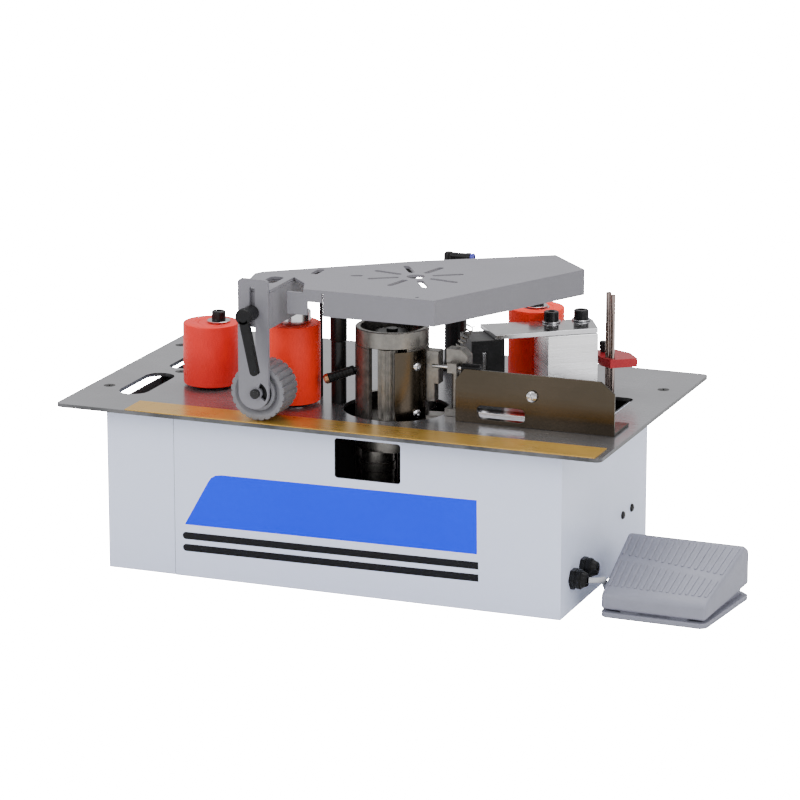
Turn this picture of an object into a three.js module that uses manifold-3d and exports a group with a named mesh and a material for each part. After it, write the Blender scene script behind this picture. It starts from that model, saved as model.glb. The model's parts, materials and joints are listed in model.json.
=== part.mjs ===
// Bench-top edge banding machine: it feeds a strip of edging past a glue head and rollers onto
// the edge of a panel that slides over its table. Millimetres, +Z up, +X to the outfeed's right,
// -Y towards the operator. The origin is the centre of the cabinet's bottom.
import * as THREE from 'three';
import { mergeVertices } from 'three/addons/utils/BufferGeometryUtils.js';
import Module from 'manifold-3d';

const wasm = await Module();
wasm.setup();

// ---------------------------------------------------------------- driving dimensions
const GAP = 0.3; // clearance between two pieces that touch
const SHEET = 2; // folded sheet of the cabinet
const BASE = 3; // plate that the machine stands on

const CABINET = { halfWidth: 252, halfDepth: 140, height: 176, seamX: -175 };
const TABLE = { halfWidth: 300, front: -163, back: 203, thickness: 4, corner: 7 };
const TABLE_TOP = CABINET.height + TABLE.thickness;
const TABLE_UNDER = CABINET.height;
const STRIP = { left: -221, right: 294, depth: 40, thickness: 0.8 };

const DRUM = { x: 34, y: -50, radius: 38.5, bore: 33, top: 268, ringHeight: 17, well: 56 };
const GLUE_ROLLER = { x: 5, y: -25, radius: 10.5, bottom: 174.5, top: 249 };
const GEAR = { module: 1.5, drive: 22, glue: 12, bottom: 252.5, top: 262 };

const ROLLER = { radius: 30, spindle: 14, bottom: 183 };
const ECCENTRIC = { x: 7.4, y: 3.1 };
const PRESS_HUB = { x: 1.3, y: 3.1, radius: 17.9 };
const ROLLERS = {
  outfeed: { x: -179.6, y: -31.2, top: 248.6 },
  press: { x: -71.5, y: -67.5, top: 266 },
  feed: { x: 129.5, y: 127.4, top: 257 },
};

const COVER = { top: 320, sheet: 3, skirt: 27, front: -139 };
const ARM = { left: -90, right: -58, front: -155, back: -62, bottom: 279, wall: 3 };
const WHEEL = { x: -73, z: 211, radius: 29.5, front: -155, length: 36 };
const SLIDE_PLATE = { x: -75.3, width: 33.5, thickness: 4, top: 330.5, slot: 6.2 };
const STUD = { x: -76, z: 296, radius: 2.7 };
const PLATE_BACK = ARM.front - GAP;
const PLATE_FRONT = PLATE_BACK - SLIDE_PLATE.thickness;

const FENCE = { left: 114.5, right: 286, front: -78, thickness: 2.5, height: 56, foot: 48 };
const BRIDGE = { x: 124, y: 16, turn: 36, length: 112, width: 51, top: 250, thickness: 5 };

const MOTOR = { x: 40, y: 60, size: 64, shaft: 5 };
const BELT = { low: 84, high: 148, width: 8, thickness: 2 };
const PULLEY = { motorLow: 12, motorHigh: 14, glue: 14, feed: 7 };

const PEDAL = { x: 285.2, y: -114, turn: -1, front: 112, spread: 9, depth: 122 };
const CORD = { radius: 3, coilX: 318, coilY: 80, coilRadius: 31 };

// ---------------------------------------------------------------- solids and meshes
const radians = (degrees) => (degrees * Math.PI) / 180;

// A closed geometry becomes a solid: only positions are kept, shared vertices are merged,
// collapsed triangles are dropped and the faces are turned to point out.
function solid(geometry) {
  const bare = geometry.clone();
  for (const name of Object.keys(bare.attributes)) {
    if (name !== 'position') bare.deleteAttribute(name);
  }
  const merged = mergeVertices(bare, 1e-4);
  const position = merged.attributes.position;
  const corners = [0, 1, 2].map(() => new THREE.Vector3());
  const triangles = [];
  let volume = 0;
  for (let i = 0; i < merged.index.count; i += 3) {
    const ids = [0, 1, 2].map((k) => merged.index.getX(i + k));
    if (new Set(ids).size < 3) continue;
    triangles.push(ids);
    ids.forEach((id, k) => corners[k].fromBufferAttribute(position, id));
    volume += corners[0].dot(corners[1].clone().cross(corners[2]));
  }
  if (volume < 0) triangles.forEach((ids) => ids.reverse());
  const mesh = new wasm.Mesh({
    numProp: 3,
    vertProperties: new Float32Array(position.array),
    triVerts: new Uint32Array(triangles.flat()),
  });
  return new wasm.Manifold(mesh);
}

function geometryOf(body) {
  const { vertProperties, triVerts, numProp } = body.getMesh();
  const geometry = new THREE.BufferGeometry();
  const count = vertProperties.length / numProp;
  const positions = new Float32Array(count * 3);
  for (let i = 0; i < count; i += 1) {
    for (let k = 0; k < 3; k += 1) positions[i * 3 + k] = vertProperties[i * numProp + k];
  }
  geometry.setAttribute('position', new THREE.BufferAttribute(positions, 3));
  geometry.setIndex([...triVerts]);
  geometry.computeVertexNormals();
  return geometry;
}

const union = (...bodies) => bodies.reduce((sum, body) => sum.add(body));
const cut = (body, ...tools) => tools.reduce((rest, tool) => rest.subtract(tool), body);

function box(x0, x1, y0, y1, z0, z1) {
  const geometry = new THREE.BoxGeometry(x1 - x0, y1 - y0, z1 - z0);
  geometry.translate((x0 + x1) / 2, (y0 + y1) / 2, (z0 + z1) / 2);
  return solid(geometry);
}

function extruded(shape, depth, curveSegments = 8) {
  return new THREE.ExtrudeGeometry(shape, { depth, curveSegments, bevelEnabled: false });
}

// Outline drawn in (x, y), standing from z0 to z1.
function plateZ(shape, z0, z1, curveSegments) {
  return solid(extruded(shape, z1 - z0, curveSegments).translate(0, 0, z0));
}

// Outline drawn in (x, z), reaching from y0 to y1.
function plateY(shape, y0, y1, curveSegments) {
  const geometry = extruded(shape, y1 - y0, curveSegments);
  return solid(geometry.rotateX(Math.PI / 2).translate(0, y1, 0));
}

// Outline drawn in (y, z), reaching from x0 to x1.
function plateX(shape, x0, x1, curveSegments) {
  const toX = new THREE.Matrix4().makeBasis(
    new THREE.Vector3(0, 1, 0), new THREE.Vector3(0, 0, 1), new THREE.Vector3(1, 0, 0));
  return solid(extruded(shape, x1 - x0, curveSegments).applyMatrix4(toX).translate(x0, 0, 0));
}

function outline(points) {
  return new THREE.Shape(points.map(([x, y]) => new THREE.Vector2(x, y)));
}

function rounded(x0, x1, y0, y1, radius) {
  const shape = new THREE.Shape();
  shape.absarc(x1 - radius, y0 + radius, radius, -Math.PI / 2, 0);
  shape.absarc(x1 - radius, y1 - radius, radius, 0, Math.PI / 2);
  shape.absarc(x0 + radius, y1 - radius, radius, Math.PI / 2, Math.PI);
  shape.absarc(x0 + radius, y0 + radius, radius, Math.PI, Math.PI * 1.5);
  return shape;
}

function cylinderZ(x, y, radius, z0, z1, segments = 24) {
  const geometry = new THREE.CylinderGeometry(radius, radius, z1 - z0, segments);
  return solid(geometry.rotateX(Math.PI / 2).translate(x, y, (z0 + z1) / 2));
}

function cylinderY(x, z, radius, y0, y1, segments = 24) {
  const geometry = new THREE.CylinderGeometry(radius, radius, y1 - y0, segments);
  return solid(geometry.translate(x, (y0 + y1) / 2, z));
}

function cylinderX(y, z, radius, x0, x1, segments = 24) {
  const geometry = new THREE.CylinderGeometry(radius, radius, x1 - x0, segments);
  return solid(geometry.rotateZ(Math.PI / 2).translate((x0 + x1) / 2, y, z));
}

// Turned piece: [radius, height] pairs from the axis out and back to it, standing along Z.
function turned(profile, x = 0, y = 0, segments = 32) {
  const points = profile.map(([radius, height]) => new THREE.Vector2(radius, height));
  const geometry = new THREE.LatheGeometry(points, segments);
  return solid(geometry.rotateX(Math.PI / 2).translate(x, y, 0));
}

// Sector of a ring about the local Z axis, between two angles in degrees.
function arcPlate(inner, outer, from, to, z0, z1, curveSegments = 12) {
  const shape = new THREE.Shape();
  shape.absarc(0, 0, outer, radians(from), radians(to));
  shape.absarc(0, 0, inner, radians(to), radians(from), true);
  return plateZ(shape, z0, z1, curveSegments);
}

// Tube of round section along a curve.
function tube(curve, radius, steps, sides) {
  const section = new THREE.Shape();
  for (let i = 0; i < sides; i += 1) {
    const angle = (i * 2 * Math.PI) / sides;
    const point = [radius * Math.cos(angle), radius * Math.sin(angle)];
    if (i === 0) section.moveTo(...point);
    else section.lineTo(...point);
  }
  return solid(new THREE.ExtrudeGeometry(section, { steps, extrudePath: curve, bevelEnabled: false }));
}

class Helix extends THREE.Curve {
  constructor(radius, height, turns) {
    super();
    Object.assign(this, { radius, height, turns });
  }

  getPoint(t, target = new THREE.Vector3()) {
    const angle = 2 * Math.PI * this.turns * t;
    return target.set(this.radius * Math.cos(angle), this.radius * Math.sin(angle), this.height * t);
  }
}

// Gear outline with straight flanks: the teeth narrow from root to tip.
function gearShape(teeth, module, phase = 0) {
  const pitch = (teeth * module) / 2;
  const tip = pitch + 0.75 * module;
  const root = pitch - 1.05 * module;
  const step = (2 * Math.PI) / teeth;
  const points = [];
  for (let i = 0; i < teeth; i += 1) {
    const middle = i * step + phase;
    for (const [radius, share] of [[root, -0.33], [tip, -0.12], [tip, 0.12], [root, 0.33]]) {
      const angle = middle + share * step;
      points.push([radius * Math.cos(angle), radius * Math.sin(angle)]);
    }
  }
  return outline(points);
}

// ---------------------------------------------------------------- finishes
const FINISH = {
  whitePaint: [0xe6e8f4, 0.45, 0.0],
  greyPaint: [0x85868c, 0.5, 0.3],
  tableSteel: [0x9c9ca2, 0.35, 0.8],
  stainless: [0x8d8478, 0.3, 0.9],
  brightSteel: [0xc4c6c9, 0.25, 1.0],
  aluminium: [0xcfd2d6, 0.35, 1.0],
  castAluminium: [0x8e8b86, 0.6, 0.8],
  blackSteel: [0x1b1b1d, 0.45, 0.6],
  blackPlastic: [0x151517, 0.5, 0.0],
  darkSteel: [0x3a3a3c, 0.5, 0.7],
  silicone: [0xe0362c, 0.55, 0.0],
  redAnodised: [0xb5222a, 0.4, 0.6],
  brassStrip: [0xd9a83c, 0.35, 0.5],
  copper: [0xb4704a, 0.35, 0.9],
  wheelGrey: [0x8b8d90, 0.6, 0.0],
  pedalGrey: [0xa3a5ad, 0.6, 0.0],
  rubber: [0x1d1d1f, 0.85, 0.0],
  cordGrey: [0xb9bac0, 0.6, 0.0],
  bluePlastic: [0x3b35a0, 0.4, 0.0],
};

const machine = new THREE.Group();

function add(parent, name, body, finish) {
  const [color, roughness, metalness] = FINISH[finish];
  const material = new THREE.MeshStandardMaterial({ color, roughness, metalness });
  const mesh = new THREE.Mesh(geometryOf(body), material);
  mesh.name = name;
  parent.add(mesh);
}

function groupAt(x, y, z, turn = 0) {
  const group = new THREE.Group();
  group.position.set(x, y, z);
  group.rotation.z = radians(turn);
  machine.add(group);
  return group;
}

// Socket-head screw standing on z0, with its washer turned in one piece with it.
function socketScrew(x, y, z0, { head = 8, height = 10, shank = 5, depth = 20, washer = 0 }) {
  const washerHeight = washer > 0 ? 1.5 : 0;
  const profile = [[0, z0 - depth], [shank, z0 - depth], [shank, z0]];
  if (washer > 0) profile.push([washer, z0], [washer, z0 + washerHeight]);
  const rim = z0 + washerHeight;
  profile.push([head, rim], [head, rim + height - 0.6], [head - 0.6, rim + height]);
  profile.push([head * 0.55, rim + height], [head * 0.55, rim + height * 0.5], [0, rim + height * 0.5]);
  return turned(profile, x, y, 14);
}

// ---------------------------------------------------------------- cabinet
function cabinet() {
  const { halfWidth, halfDepth, height, seamX } = CABINET;
  const group = groupAt(0, 0, 0);
  const top = height - GAP;

  // U of folded sheet: front, right end and rear, open at the left seam.
  const wrap = cut(
    box(seamX + GAP, halfWidth, -halfDepth, halfDepth, 0, top),
    box(seamX - 1, halfWidth - SHEET, SHEET - halfDepth, halfDepth - SHEET, -1, top + 1),
    plateY(rounded(6, 78.3, 125, 167, 3), -halfDepth - 1, SHEET - halfDepth + 1, 3),
    ...[[-106, 35], [-74, 38]].map(([y, z]) => cylinderX(y, z, 8, halfWidth - 5, halfWidth + 1, 20)),
    ...[57.8, 87.7].map((y) => cylinderX(y, 57, 3.4, halfWidth - 5, halfWidth + 1, 12)),
    box(-106, -80, halfDepth - 5, halfDepth + 1, 90, 112),
    cylinderY(-40, 101, 3.4, halfDepth - 5, halfDepth + 1, 16),
    ...[0, 1, 2, 3, 4].map((i) => box(60, 150, halfDepth - 5, halfDepth + 1, 60 + i * 14, 65 + i * 14)),
  );
  add(group, 'cabinet_wrap', wrap, 'whitePaint');

  const cap = cut(
    box(-halfWidth, seamX, -halfDepth, halfDepth, 0, top),
    box(SHEET - halfWidth, seamX + 1, SHEET - halfDepth, halfDepth - SHEET, -1, top + 1),
  );
  add(group, 'left_end_cap', cap, 'whitePaint');

  const inner = SHEET + GAP;
  const base = box(inner - halfWidth, halfWidth - inner, inner - halfDepth, halfDepth - inner, 0, BASE);
  add(group, 'base_plate', base, 'darkSteel');
}

// ---------------------------------------------------------------- table
function table() {
  const { halfWidth, front, back, corner } = TABLE;
  const group = groupAt(0, 0, 0);
  const shape = rounded(-halfWidth, halfWidth, front, back, corner);
  const through = (hole) => plateZ(hole, TABLE_UNDER - 1, TABLE_TOP + 1, 2);
  const round = (x, y, radius, segments = 14) =>
    cylinderZ(x, y, radius, TABLE_UNDER - 1, TABLE_TOP + 1, segments);

  const strip = rounded(STRIP.left, STRIP.right, front + 0.5, front + STRIP.depth, 1);
  const plate = cut(
    plateZ(shape, TABLE_UNDER, TABLE_TOP, 2),
    through(rounded(-262, -229.5, -100, -5, 16)),
    through(rounded(-256, -196, 19.5, 74, 9)),
    through(rounded(206, 258, -4, 76, 8)),
    round(DRUM.x + 5, DRUM.y, DRUM.well, 32),
    ...[ROLLERS.outfeed, ROLLERS.press].map(({ x, y }) => round(x + ECCENTRIC.x, y + ECCENTRIC.y, 7)),
    round(ROLLERS.feed.x, ROLLERS.feed.y, 13),
    ...[[-279.2, -74.8], [-282.8, 115.5], [-233.3, 7.2], [274.3, 122.6]].map(
      ([x, y]) => turned([[0, 176], [3.2, 176], [6.6, TABLE_TOP + 0.1], [0, TABLE_TOP + 0.1]], x, y, 10)),
    plateZ(strip, TABLE_TOP - STRIP.thickness + 0.5, TABLE_TOP + 1, 2),
  );
  add(group, 'table_plate', plate, 'tableSteel');

  const low = TABLE_TOP - STRIP.thickness + 0.5 + GAP;
  const inset = rounded(STRIP.left + GAP, STRIP.right - GAP, front + 0.5 + GAP, front + STRIP.depth - GAP, 1);
  add(group, 'wear_strip', plateZ(inset, low, low + STRIP.thickness, 2), 'brassStrip');
}

// ---------------------------------------------------------------- rollers
// Silicone sleeve that turns on, or with, the spindle through its bore.
function sleeve(top) {
  const { radius, spindle, bottom } = ROLLER;
  const bore = spindle + GAP;
  return turned([
    [bore, bottom], [radius - 1, bottom], [radius, bottom + 1], [radius, top - 1], [radius - 1, top],
    [bore, top], [bore, bottom],
  ], 0, 0, 28);
}

// Fixed spindle on an off-centre stud, which sets how far the roller stands out to the panel.
function eccentricSpindle(top) {
  return union(
    turned([[0, 162], [10, 162], [10, TABLE_UNDER - 2], [0, TABLE_UNDER - 2]], ECCENTRIC.x, ECCENTRIC.y, 14),
    cylinderZ(ECCENTRIC.x, ECCENTRIC.y, 6, 165, 181, 14),
    cylinderZ(0, 0, 21, TABLE_TOP + GAP, ROLLER.bottom - GAP, 20),
    cylinderZ(0, 0, ROLLER.spindle, TABLE_TOP + 1, top + GAP, 24),
  );
}

function rollers() {
  const outfeed = groupAt(ROLLERS.outfeed.x, ROLLERS.outfeed.y, 0);
  const screwHole = cylinderZ(ECCENTRIC.x, ECCENTRIC.y, 4.5, 225, 260, 16);
  add(outfeed, 'outfeed_roller', sleeve(ROLLERS.outfeed.top), 'silicone');
  add(outfeed, 'outfeed_spindle', cut(eccentricSpindle(ROLLERS.outfeed.top), screwHole), 'darkSteel');
  const cap = ROLLERS.outfeed.top + 2 * GAP;
  const screw = socketScrew(ECCENTRIC.x, ECCENTRIC.y, cap, { shank: 4.1, depth: 20, washer: 12.3 });
  add(outfeed, 'outfeed_screw', screw, 'blackSteel');

  // The press roller's spindle ends in a bright hub under the pressure arm.
  const press = groupAt(ROLLERS.press.x, ROLLERS.press.y, 0);
  const hubFoot = ROLLERS.press.top + GAP;
  const { x, y, radius } = PRESS_HUB;
  const hub = turned(
    [[0, hubFoot], [radius, hubFoot], [radius, 277.2], [radius - 1, 278.4], [0, 278.4]], x, y, 24);
  add(press, 'press_roller', sleeve(ROLLERS.press.top), 'silicone');
  add(press, 'press_spindle', union(eccentricSpindle(ROLLERS.press.top), hub), 'brightSteel');

  // The feed roller is clamped to a spindle that the upper belt drives.
  const feed = groupAt(ROLLERS.feed.x, ROLLERS.feed.y, 0);
  const rim = BELT.high + BELT.width + 1;
  const spindle = turned([
    [0, BELT.high - 3.5], [9.3, BELT.high - 3.5], [9.3, BELT.high - 1], [PULLEY.feed, BELT.high - 1],
    [PULLEY.feed, rim], [9.3, rim], [9.3, rim + 2], [6.5, rim + 2], [6.5, TABLE_TOP + 0.5],
    [12, TABLE_TOP + 0.5], [12, ROLLER.bottom], [ROLLER.spindle, ROLLER.bottom],
    [ROLLER.spindle, ROLLERS.feed.top], [0, ROLLERS.feed.top],
  ], 0, 0, 16);
  const feedCap = ROLLERS.feed.top + GAP;
  add(feed, 'feed_roller', sleeve(ROLLERS.feed.top), 'silicone');
  const head = socketScrew(0, 0, feedCap, { depth: 4, washer: 12.3 });
  add(feed, 'feed_spindle', union(spindle, head), 'brightSteel');
}

// ---------------------------------------------------------------- glue head
function glueHead() {
  const { radius, bore, top, ringHeight } = DRUM;
  const group = groupAt(DRUM.x, DRUM.y, 0);
  const { x, y } = GLUE_ROLLER;
  const ringFoot = top - ringHeight;
  const cupFloor = 172;
  const mouthFoot = cupFloor + 2;

  // Knob axis of the glue valve, leaning down and out to the left of the head.
  const valveAt = new THREE.Vector3(-34, -20, 222);
  const valveAxis = new THREE.Vector3(-31, -6, -12).normalize();
  const valveTurn = new THREE.Quaternion().setFromUnitVectors(new THREE.Vector3(0, 0, 1), valveAxis);
  const alongValve = (body) => {
    const pose = new THREE.Matrix4().compose(valveAt, valveTurn, new THREE.Vector3(1, 1, 1));
    return body.transform(pose.elements);
  };

  // Casting: a cup with a floor, a wall that is open at the front and a ring on top.
  const shell = turned([
    [0, 141], [radius, 141], [radius, top], [bore, top], [bore, cupFloor], [0, cupFloor],
  ], 0, 0, 28);
  const chamber = cylinderZ(0, 0, bore, 151, 164, 20);
  const opening = arcPlate(10, radius + 10, -107.5, -45, mouthFoot, ringFoot, 3);
  const window = arcPlate(20, radius + 10, 100, 160, 190, ringFoot - 5, 3);
  const lug = box(30, 68, -9, 9, 167, TABLE_UNDER - GAP);
  const lugs = [10, 75, 140].map((angle) =>
    lug.rotate([0, 0, angle]).subtract(cylinderZ(0, 0, bore, 150, 180)));
  const bracket = union(box(33, 54, -6, 8, 211, 246), box(36, 49.5, -6, 6, 192, 212));
  const bracketRoot = box(30, 36, -6, 8, 205, 246).subtract(cylinderZ(0, 0, bore, 150, 260));
  const boss = alongValve(cylinderZ(0, 0, 6.5, -6, -0.5, 16)).subtract(cylinderZ(0, 0, bore, 150, 260));
  const pot = union(cylinderZ(x - 11, y, 17, 96, 142, 24), cylinderZ(-31, -8, 7, 104, 142, 14));
  const housing = cut(
    union(shell, ...lugs, bracketRoot, bracket.subtract(cylinderZ(0, 0, bore, 150, 260)), boss, pot),
    chamber,
    opening,
    window,
    cylinderZ(0, 0, 6.6, 90, 190, 16),
    cylinderZ(x, y, 4.4, 160, 190, 16),
    ...[30, 150, 270].map((angle) => box(28, 42, -7, 7, 153, 162).rotate([0, 0, angle])),
    cylinderZ(x, y, 11, ringFoot - 5, top - 4, 20),
    alongValve(cylinderZ(0, 0, 3.1, -14, 2, 12)),
    alongValve(cylinderZ(0, 0, 7, -0.2, 40, 12)),
    ...scraperScrews().map(([sx, sy, z, angle]) =>
      cylinderX(0, z, 2.6, -8, 6, 12).rotate([0, 0, angle]).translate([sx, sy, 0])),
  );
  add(group, 'glue_head_casting', housing, 'castAluminium');

  const bladeFoot = mouthFoot + 1;
  const blade = cut(
    arcPlate(radius + GAP, radius + 2.3, -65, -11, bladeFoot, ringFoot - 3, 5),
    ...scraperScrews().map(([sx, sy, z, angle]) =>
      cylinderX(0, z, 2.6, -8, 6, 12).rotate([0, 0, angle]).translate([sx, sy, 0])),
  );
  add(group, 'glue_scraper', blade, 'stainless');
  scraperScrews().forEach(([sx, sy, z, angle], i) => {
    const screw = turned(
      [[0, -5], [2.2, -5], [2.2, 0], [4.6, 0], [4.2, 1.8], [2.4, 2.7], [0, 2.7]], 0, 0, 12);
    const placed = screw.rotate([0, 90, 0]).translate([0, 0, z]).rotate([0, 0, angle]).translate([sx, sy, 0]);
    add(group, i === 0 ? 'scraper_screw_upper' : 'scraper_screw_lower', placed, 'brightSteel');
  });

  // Drive spindle with the lower belt's pulley, a doctor drum and the gear that turns the roller.
  const drumFoot = cupFloor + 1;
  const spindle = turned([
    [0, BELT.low - 4], [17, BELT.low - 4], [17, BELT.low - 1], [PULLEY.glue, BELT.low - 1],
    [PULLEY.glue, BELT.low + BELT.width + 1], [17, BELT.low + BELT.width + 1], [17, 95.3], [6, 95.3],
    [6, drumFoot],
    [12, drumFoot], [12, GEAR.bottom - 2], [6, GEAR.bottom - 2], [6, GEAR.top + 3], [0, GEAR.top + 3],
  ], 0, 0, 14);
  const drive = plateZ(gearShape(GEAR.drive, GEAR.module), GEAR.bottom, GEAR.top, 1);
  add(group, 'glue_spindle', union(spindle, drive), 'darkSteel');

  const roller = turned([
    [0, 163], [4, 163], [4, GLUE_ROLLER.bottom], [GLUE_ROLLER.radius, GLUE_ROLLER.bottom],
    [GLUE_ROLLER.radius, GLUE_ROLLER.top], [3.5, GLUE_ROLLER.top], [3.5, GEAR.top + 1], [0, GEAR.top + 1],
  ], x, y, 16);
  const meshAngle = Math.atan2(-y, -x) + Math.PI / GEAR.glue;
  const driveAngle = Math.atan2(y, x);
  const toothLag = (driveAngle * GEAR.drive) / GEAR.glue;
  const pinion = plateZ(gearShape(GEAR.glue, GEAR.module, meshAngle + toothLag), GEAR.bottom, GEAR.top, 1);
  add(group, 'glue_roller', union(roller, pinion.translate([x, y, 0])), 'darkSteel');

  const knob = groupAt(DRUM.x, DRUM.y, 0);
  const stem = union(cylinderZ(0, 0, 2.8, -5, 1, 12), cylinderZ(0, 0, 5, GAP, 28, 20));
  add(knob, 'glue_valve_knob', alongValve(stem), 'blackPlastic');
  const end = turned([[0, 28 + GAP], [5.4, 28 + GAP], [5.4, 32.6], [4.4, 33.8], [0, 33.8]], 0, 0, 20);
  add(knob, 'glue_valve_cap', alongValve(end), 'copper');
}

// Places of the two button screws of the scraper, one above the other, and the way they face.
function scraperScrews() {
  const angle = -31;
  const reach = DRUM.radius + 2.3 + GAP;
  const at = [reach * Math.cos(radians(angle)), reach * Math.sin(radians(angle))];
  return [231.8, 182.1].map((z) => [...at, z, angle]);
}

// ---------------------------------------------------------------- cover and pressure arm
function cover() {
  const { top, sheet, skirt, front } = COVER;
  const group = groupAt(0, 0, 0);
  const face = outline([
    [-90, -155], [-58, -155], [-58, -92], [-37, -114], [-28, front], [114, front], [209, 51],
    [158, 106], [28, 22], [-99, -80], [-103, -90],
  ]);
  const vent = new THREE.Vector2(57.7, -44);
  const slots = [0, 1, 2, 3, 4, 5, 6, 7].map((i) =>
    plateZ(rounded(17.5, 51, -3.3, 3.3, 3.2), top - 5, top + 5, 1)
      .rotate([0, 0, 45 * i - 12]).translate([vent.x, vent.y, 0]));
  const oval = plateZ(rounded(-6.5, 6.5, -3, 3, 2.9), top - 5, top + 5, 2).rotate([0, 0, 21]);
  const plate = cut(
    plateZ(face, top - sheet, top),
    cylinderZ(vent.x, vent.y, 9.5, top - 5, top + 5, 20),
    ...slots,
    oval.translate([-0.3, -62.5, 0]),
    cylinderZ(93.2, -131.8, 2, top - 5, top + 5, 10),
    plateZ(rounded(-81, -66, -127, -96, 6), top - 5, top + 5, 2),
    plateZ(rounded(-49, -41, -72, -48, 3.9), top - 5, top + 5, 2),
  );

  // Skirts folded down from the front edge and the slanted right edge.
  const run = Math.hypot(209 - 114, 51 - front);
  const lean = (Math.atan2(51 - front, 209 - 114) * 180) / Math.PI;
  const foot = top - skirt;
  const side = box(0, run, 0, sheet, foot, top - 1).rotate([0, 0, lean]).translate([114, front, 0]);
  const flange = union(
    box(-28, -8, front, front + sheet, 307, top - 1),
    box(-46, -24, front, front + sheet, 293, 316),
  );
  const hem = box(-6.5, 114.5, front, front + sheet, foot, top - 1);
  add(group, 'top_cover', union(plate, hem, side, flange), 'greyPaint');

  const under = top - sheet - GAP;
  const { left, right, back, bottom, wall } = ARM;
  const channel = cut(
    box(left, right, ARM.front, back, bottom, under),
    box(left + wall, right - wall, ARM.front + wall, back + 1, bottom - 1, under - 2),
    plateZ(rounded(-81, -66, -127, -96, 6), under - 5, under + 5, 2),
  );
  const stud = cylinderY(STUD.x, STUD.z, STUD.radius, -180, ARM.front + wall + 4, 16);
  add(group, 'arm_channel', union(channel, stud), 'greyPaint');

  const post = turned(
    [[0, TABLE_TOP + GAP], [8, TABLE_TOP + GAP], [8, 247], [9, 247], [9, under], [0, under]], 0, 0, 18);
  add(group, 'cover_post_front', post.translate([-25.5, -51, 0]), 'blackSteel');
  add(group, 'cover_post_rear', cylinderZ(30, 8, 8, TABLE_TOP + GAP, under, 20), 'blackSteel');
  const stay = union(
    cylinderZ(-50.5, -38, 1.8, TABLE_TOP + GAP, 306, 12),
    box(-58.5, -41.5, -44, -33, 305, under),
  );
  add(group, 'cover_stay', stay, 'blackSteel');
}

function pressUnit() {
  const group = groupAt(0, 0, 0);
  const { x, width, top, slot } = SLIDE_PLATE;
  const half = width / 2;

  // Bar with a round foot, a long slot for the stud and a kidney beside the axle screw.
  const shape = new THREE.Shape();
  shape.absarc(x, WHEEL.z, half, Math.PI, 2 * Math.PI);
  shape.absarc(x + half - 5, top - 5, 5, 0, Math.PI / 2);
  shape.absarc(x - half + 5, top - 5, 5, Math.PI / 2, Math.PI);
  const slotShape = rounded(STUD.x - slot / 2, STUD.x + slot / 2, 255.8, 322.8, slot / 2 - 0.05);
  const slotCut = plateY(slotShape, PLATE_FRONT - 1, PLATE_BACK + 1, 2);
  const kidney = new THREE.Shape();
  kidney.absarc(WHEEL.x, WHEEL.z, 12.6, radians(-38), radians(65));
  kidney.absarc(WHEEL.x, WHEEL.z, 6.6, radians(65), radians(-38), true);
  const plate = cut(
    plateY(shape, PLATE_FRONT, PLATE_BACK, 5),
    slotCut,
    plateY(kidney, PLATE_FRONT - 1, PLATE_BACK + 1, 4),
    cylinderY(WHEEL.x, WHEEL.z, 4.1, PLATE_FRONT - 1, PLATE_BACK + 1, 16),
  );
  add(group, 'wheel_slide_plate', plate, 'greyPaint');

  const wheelBack = WHEEL.front + WHEEL.length;
  const tyre = new THREE.Shape();
  const grooves = 24;
  for (let i = 0; i < grooves; i += 1) {
    const from = (i * 2 * Math.PI) / grooves;
    for (const [radius, share] of [[WHEEL.radius - 1.3, 0], [WHEEL.radius, 0.12], [WHEEL.radius, 0.8]]) {
      const angle = from + (share * 2 * Math.PI) / grooves;
      const point = [WHEEL.x + radius * Math.cos(angle), WHEEL.z + radius * Math.sin(angle)];
      if (i === 0 && share === 0) tyre.moveTo(...point);
      else tyre.lineTo(...point);
    }
  }
  const wheel = plateY(tyre, WHEEL.front + GAP, wheelBack, 1);
  const bore = cylinderY(WHEEL.x, WHEEL.z, 4.2, WHEEL.front - 1, wheelBack + 1, 16);
  add(group, 'press_wheel', wheel.subtract(bore), 'wheelGrey');
  const axle = union(
    cylinderY(WHEEL.x, WHEEL.z, 5, PLATE_FRONT - GAP - 4, PLATE_FRONT - GAP, 16),
    cylinderY(WHEEL.x, WHEEL.z, 3.9, PLATE_FRONT - GAP - 1, wheelBack + 4, 16),
    cylinderY(WHEEL.x, WHEEL.z, 7, wheelBack + GAP, wheelBack + 5, 6),
  );
  add(group, 'wheel_axle', axle, 'blackSteel');

  // Clamp lever that turns on the arm's stud.
  const hubFront = -184;
  const hub = 8.2;
  const arm = new THREE.Shape();
  arm.absarc(STUD.x, STUD.z, 5.2, radians(-10), radians(190));
  arm.absarc(-63.3 - 1, 239.5, 4.4, radians(190), radians(370));
  const lever = union(
    cylinderY(STUD.x, STUD.z, hub, hubFront, PLATE_FRONT - GAP, 18),
    plateY(arm, hubFront, hubFront + 6.5, 4),
  );
  add(group, 'clamp_lever', lever.subtract(
    cylinderY(STUD.x, STUD.z, STUD.radius + GAP, -180 - GAP, PLATE_BACK, 16)), 'blackPlastic');
}

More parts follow.
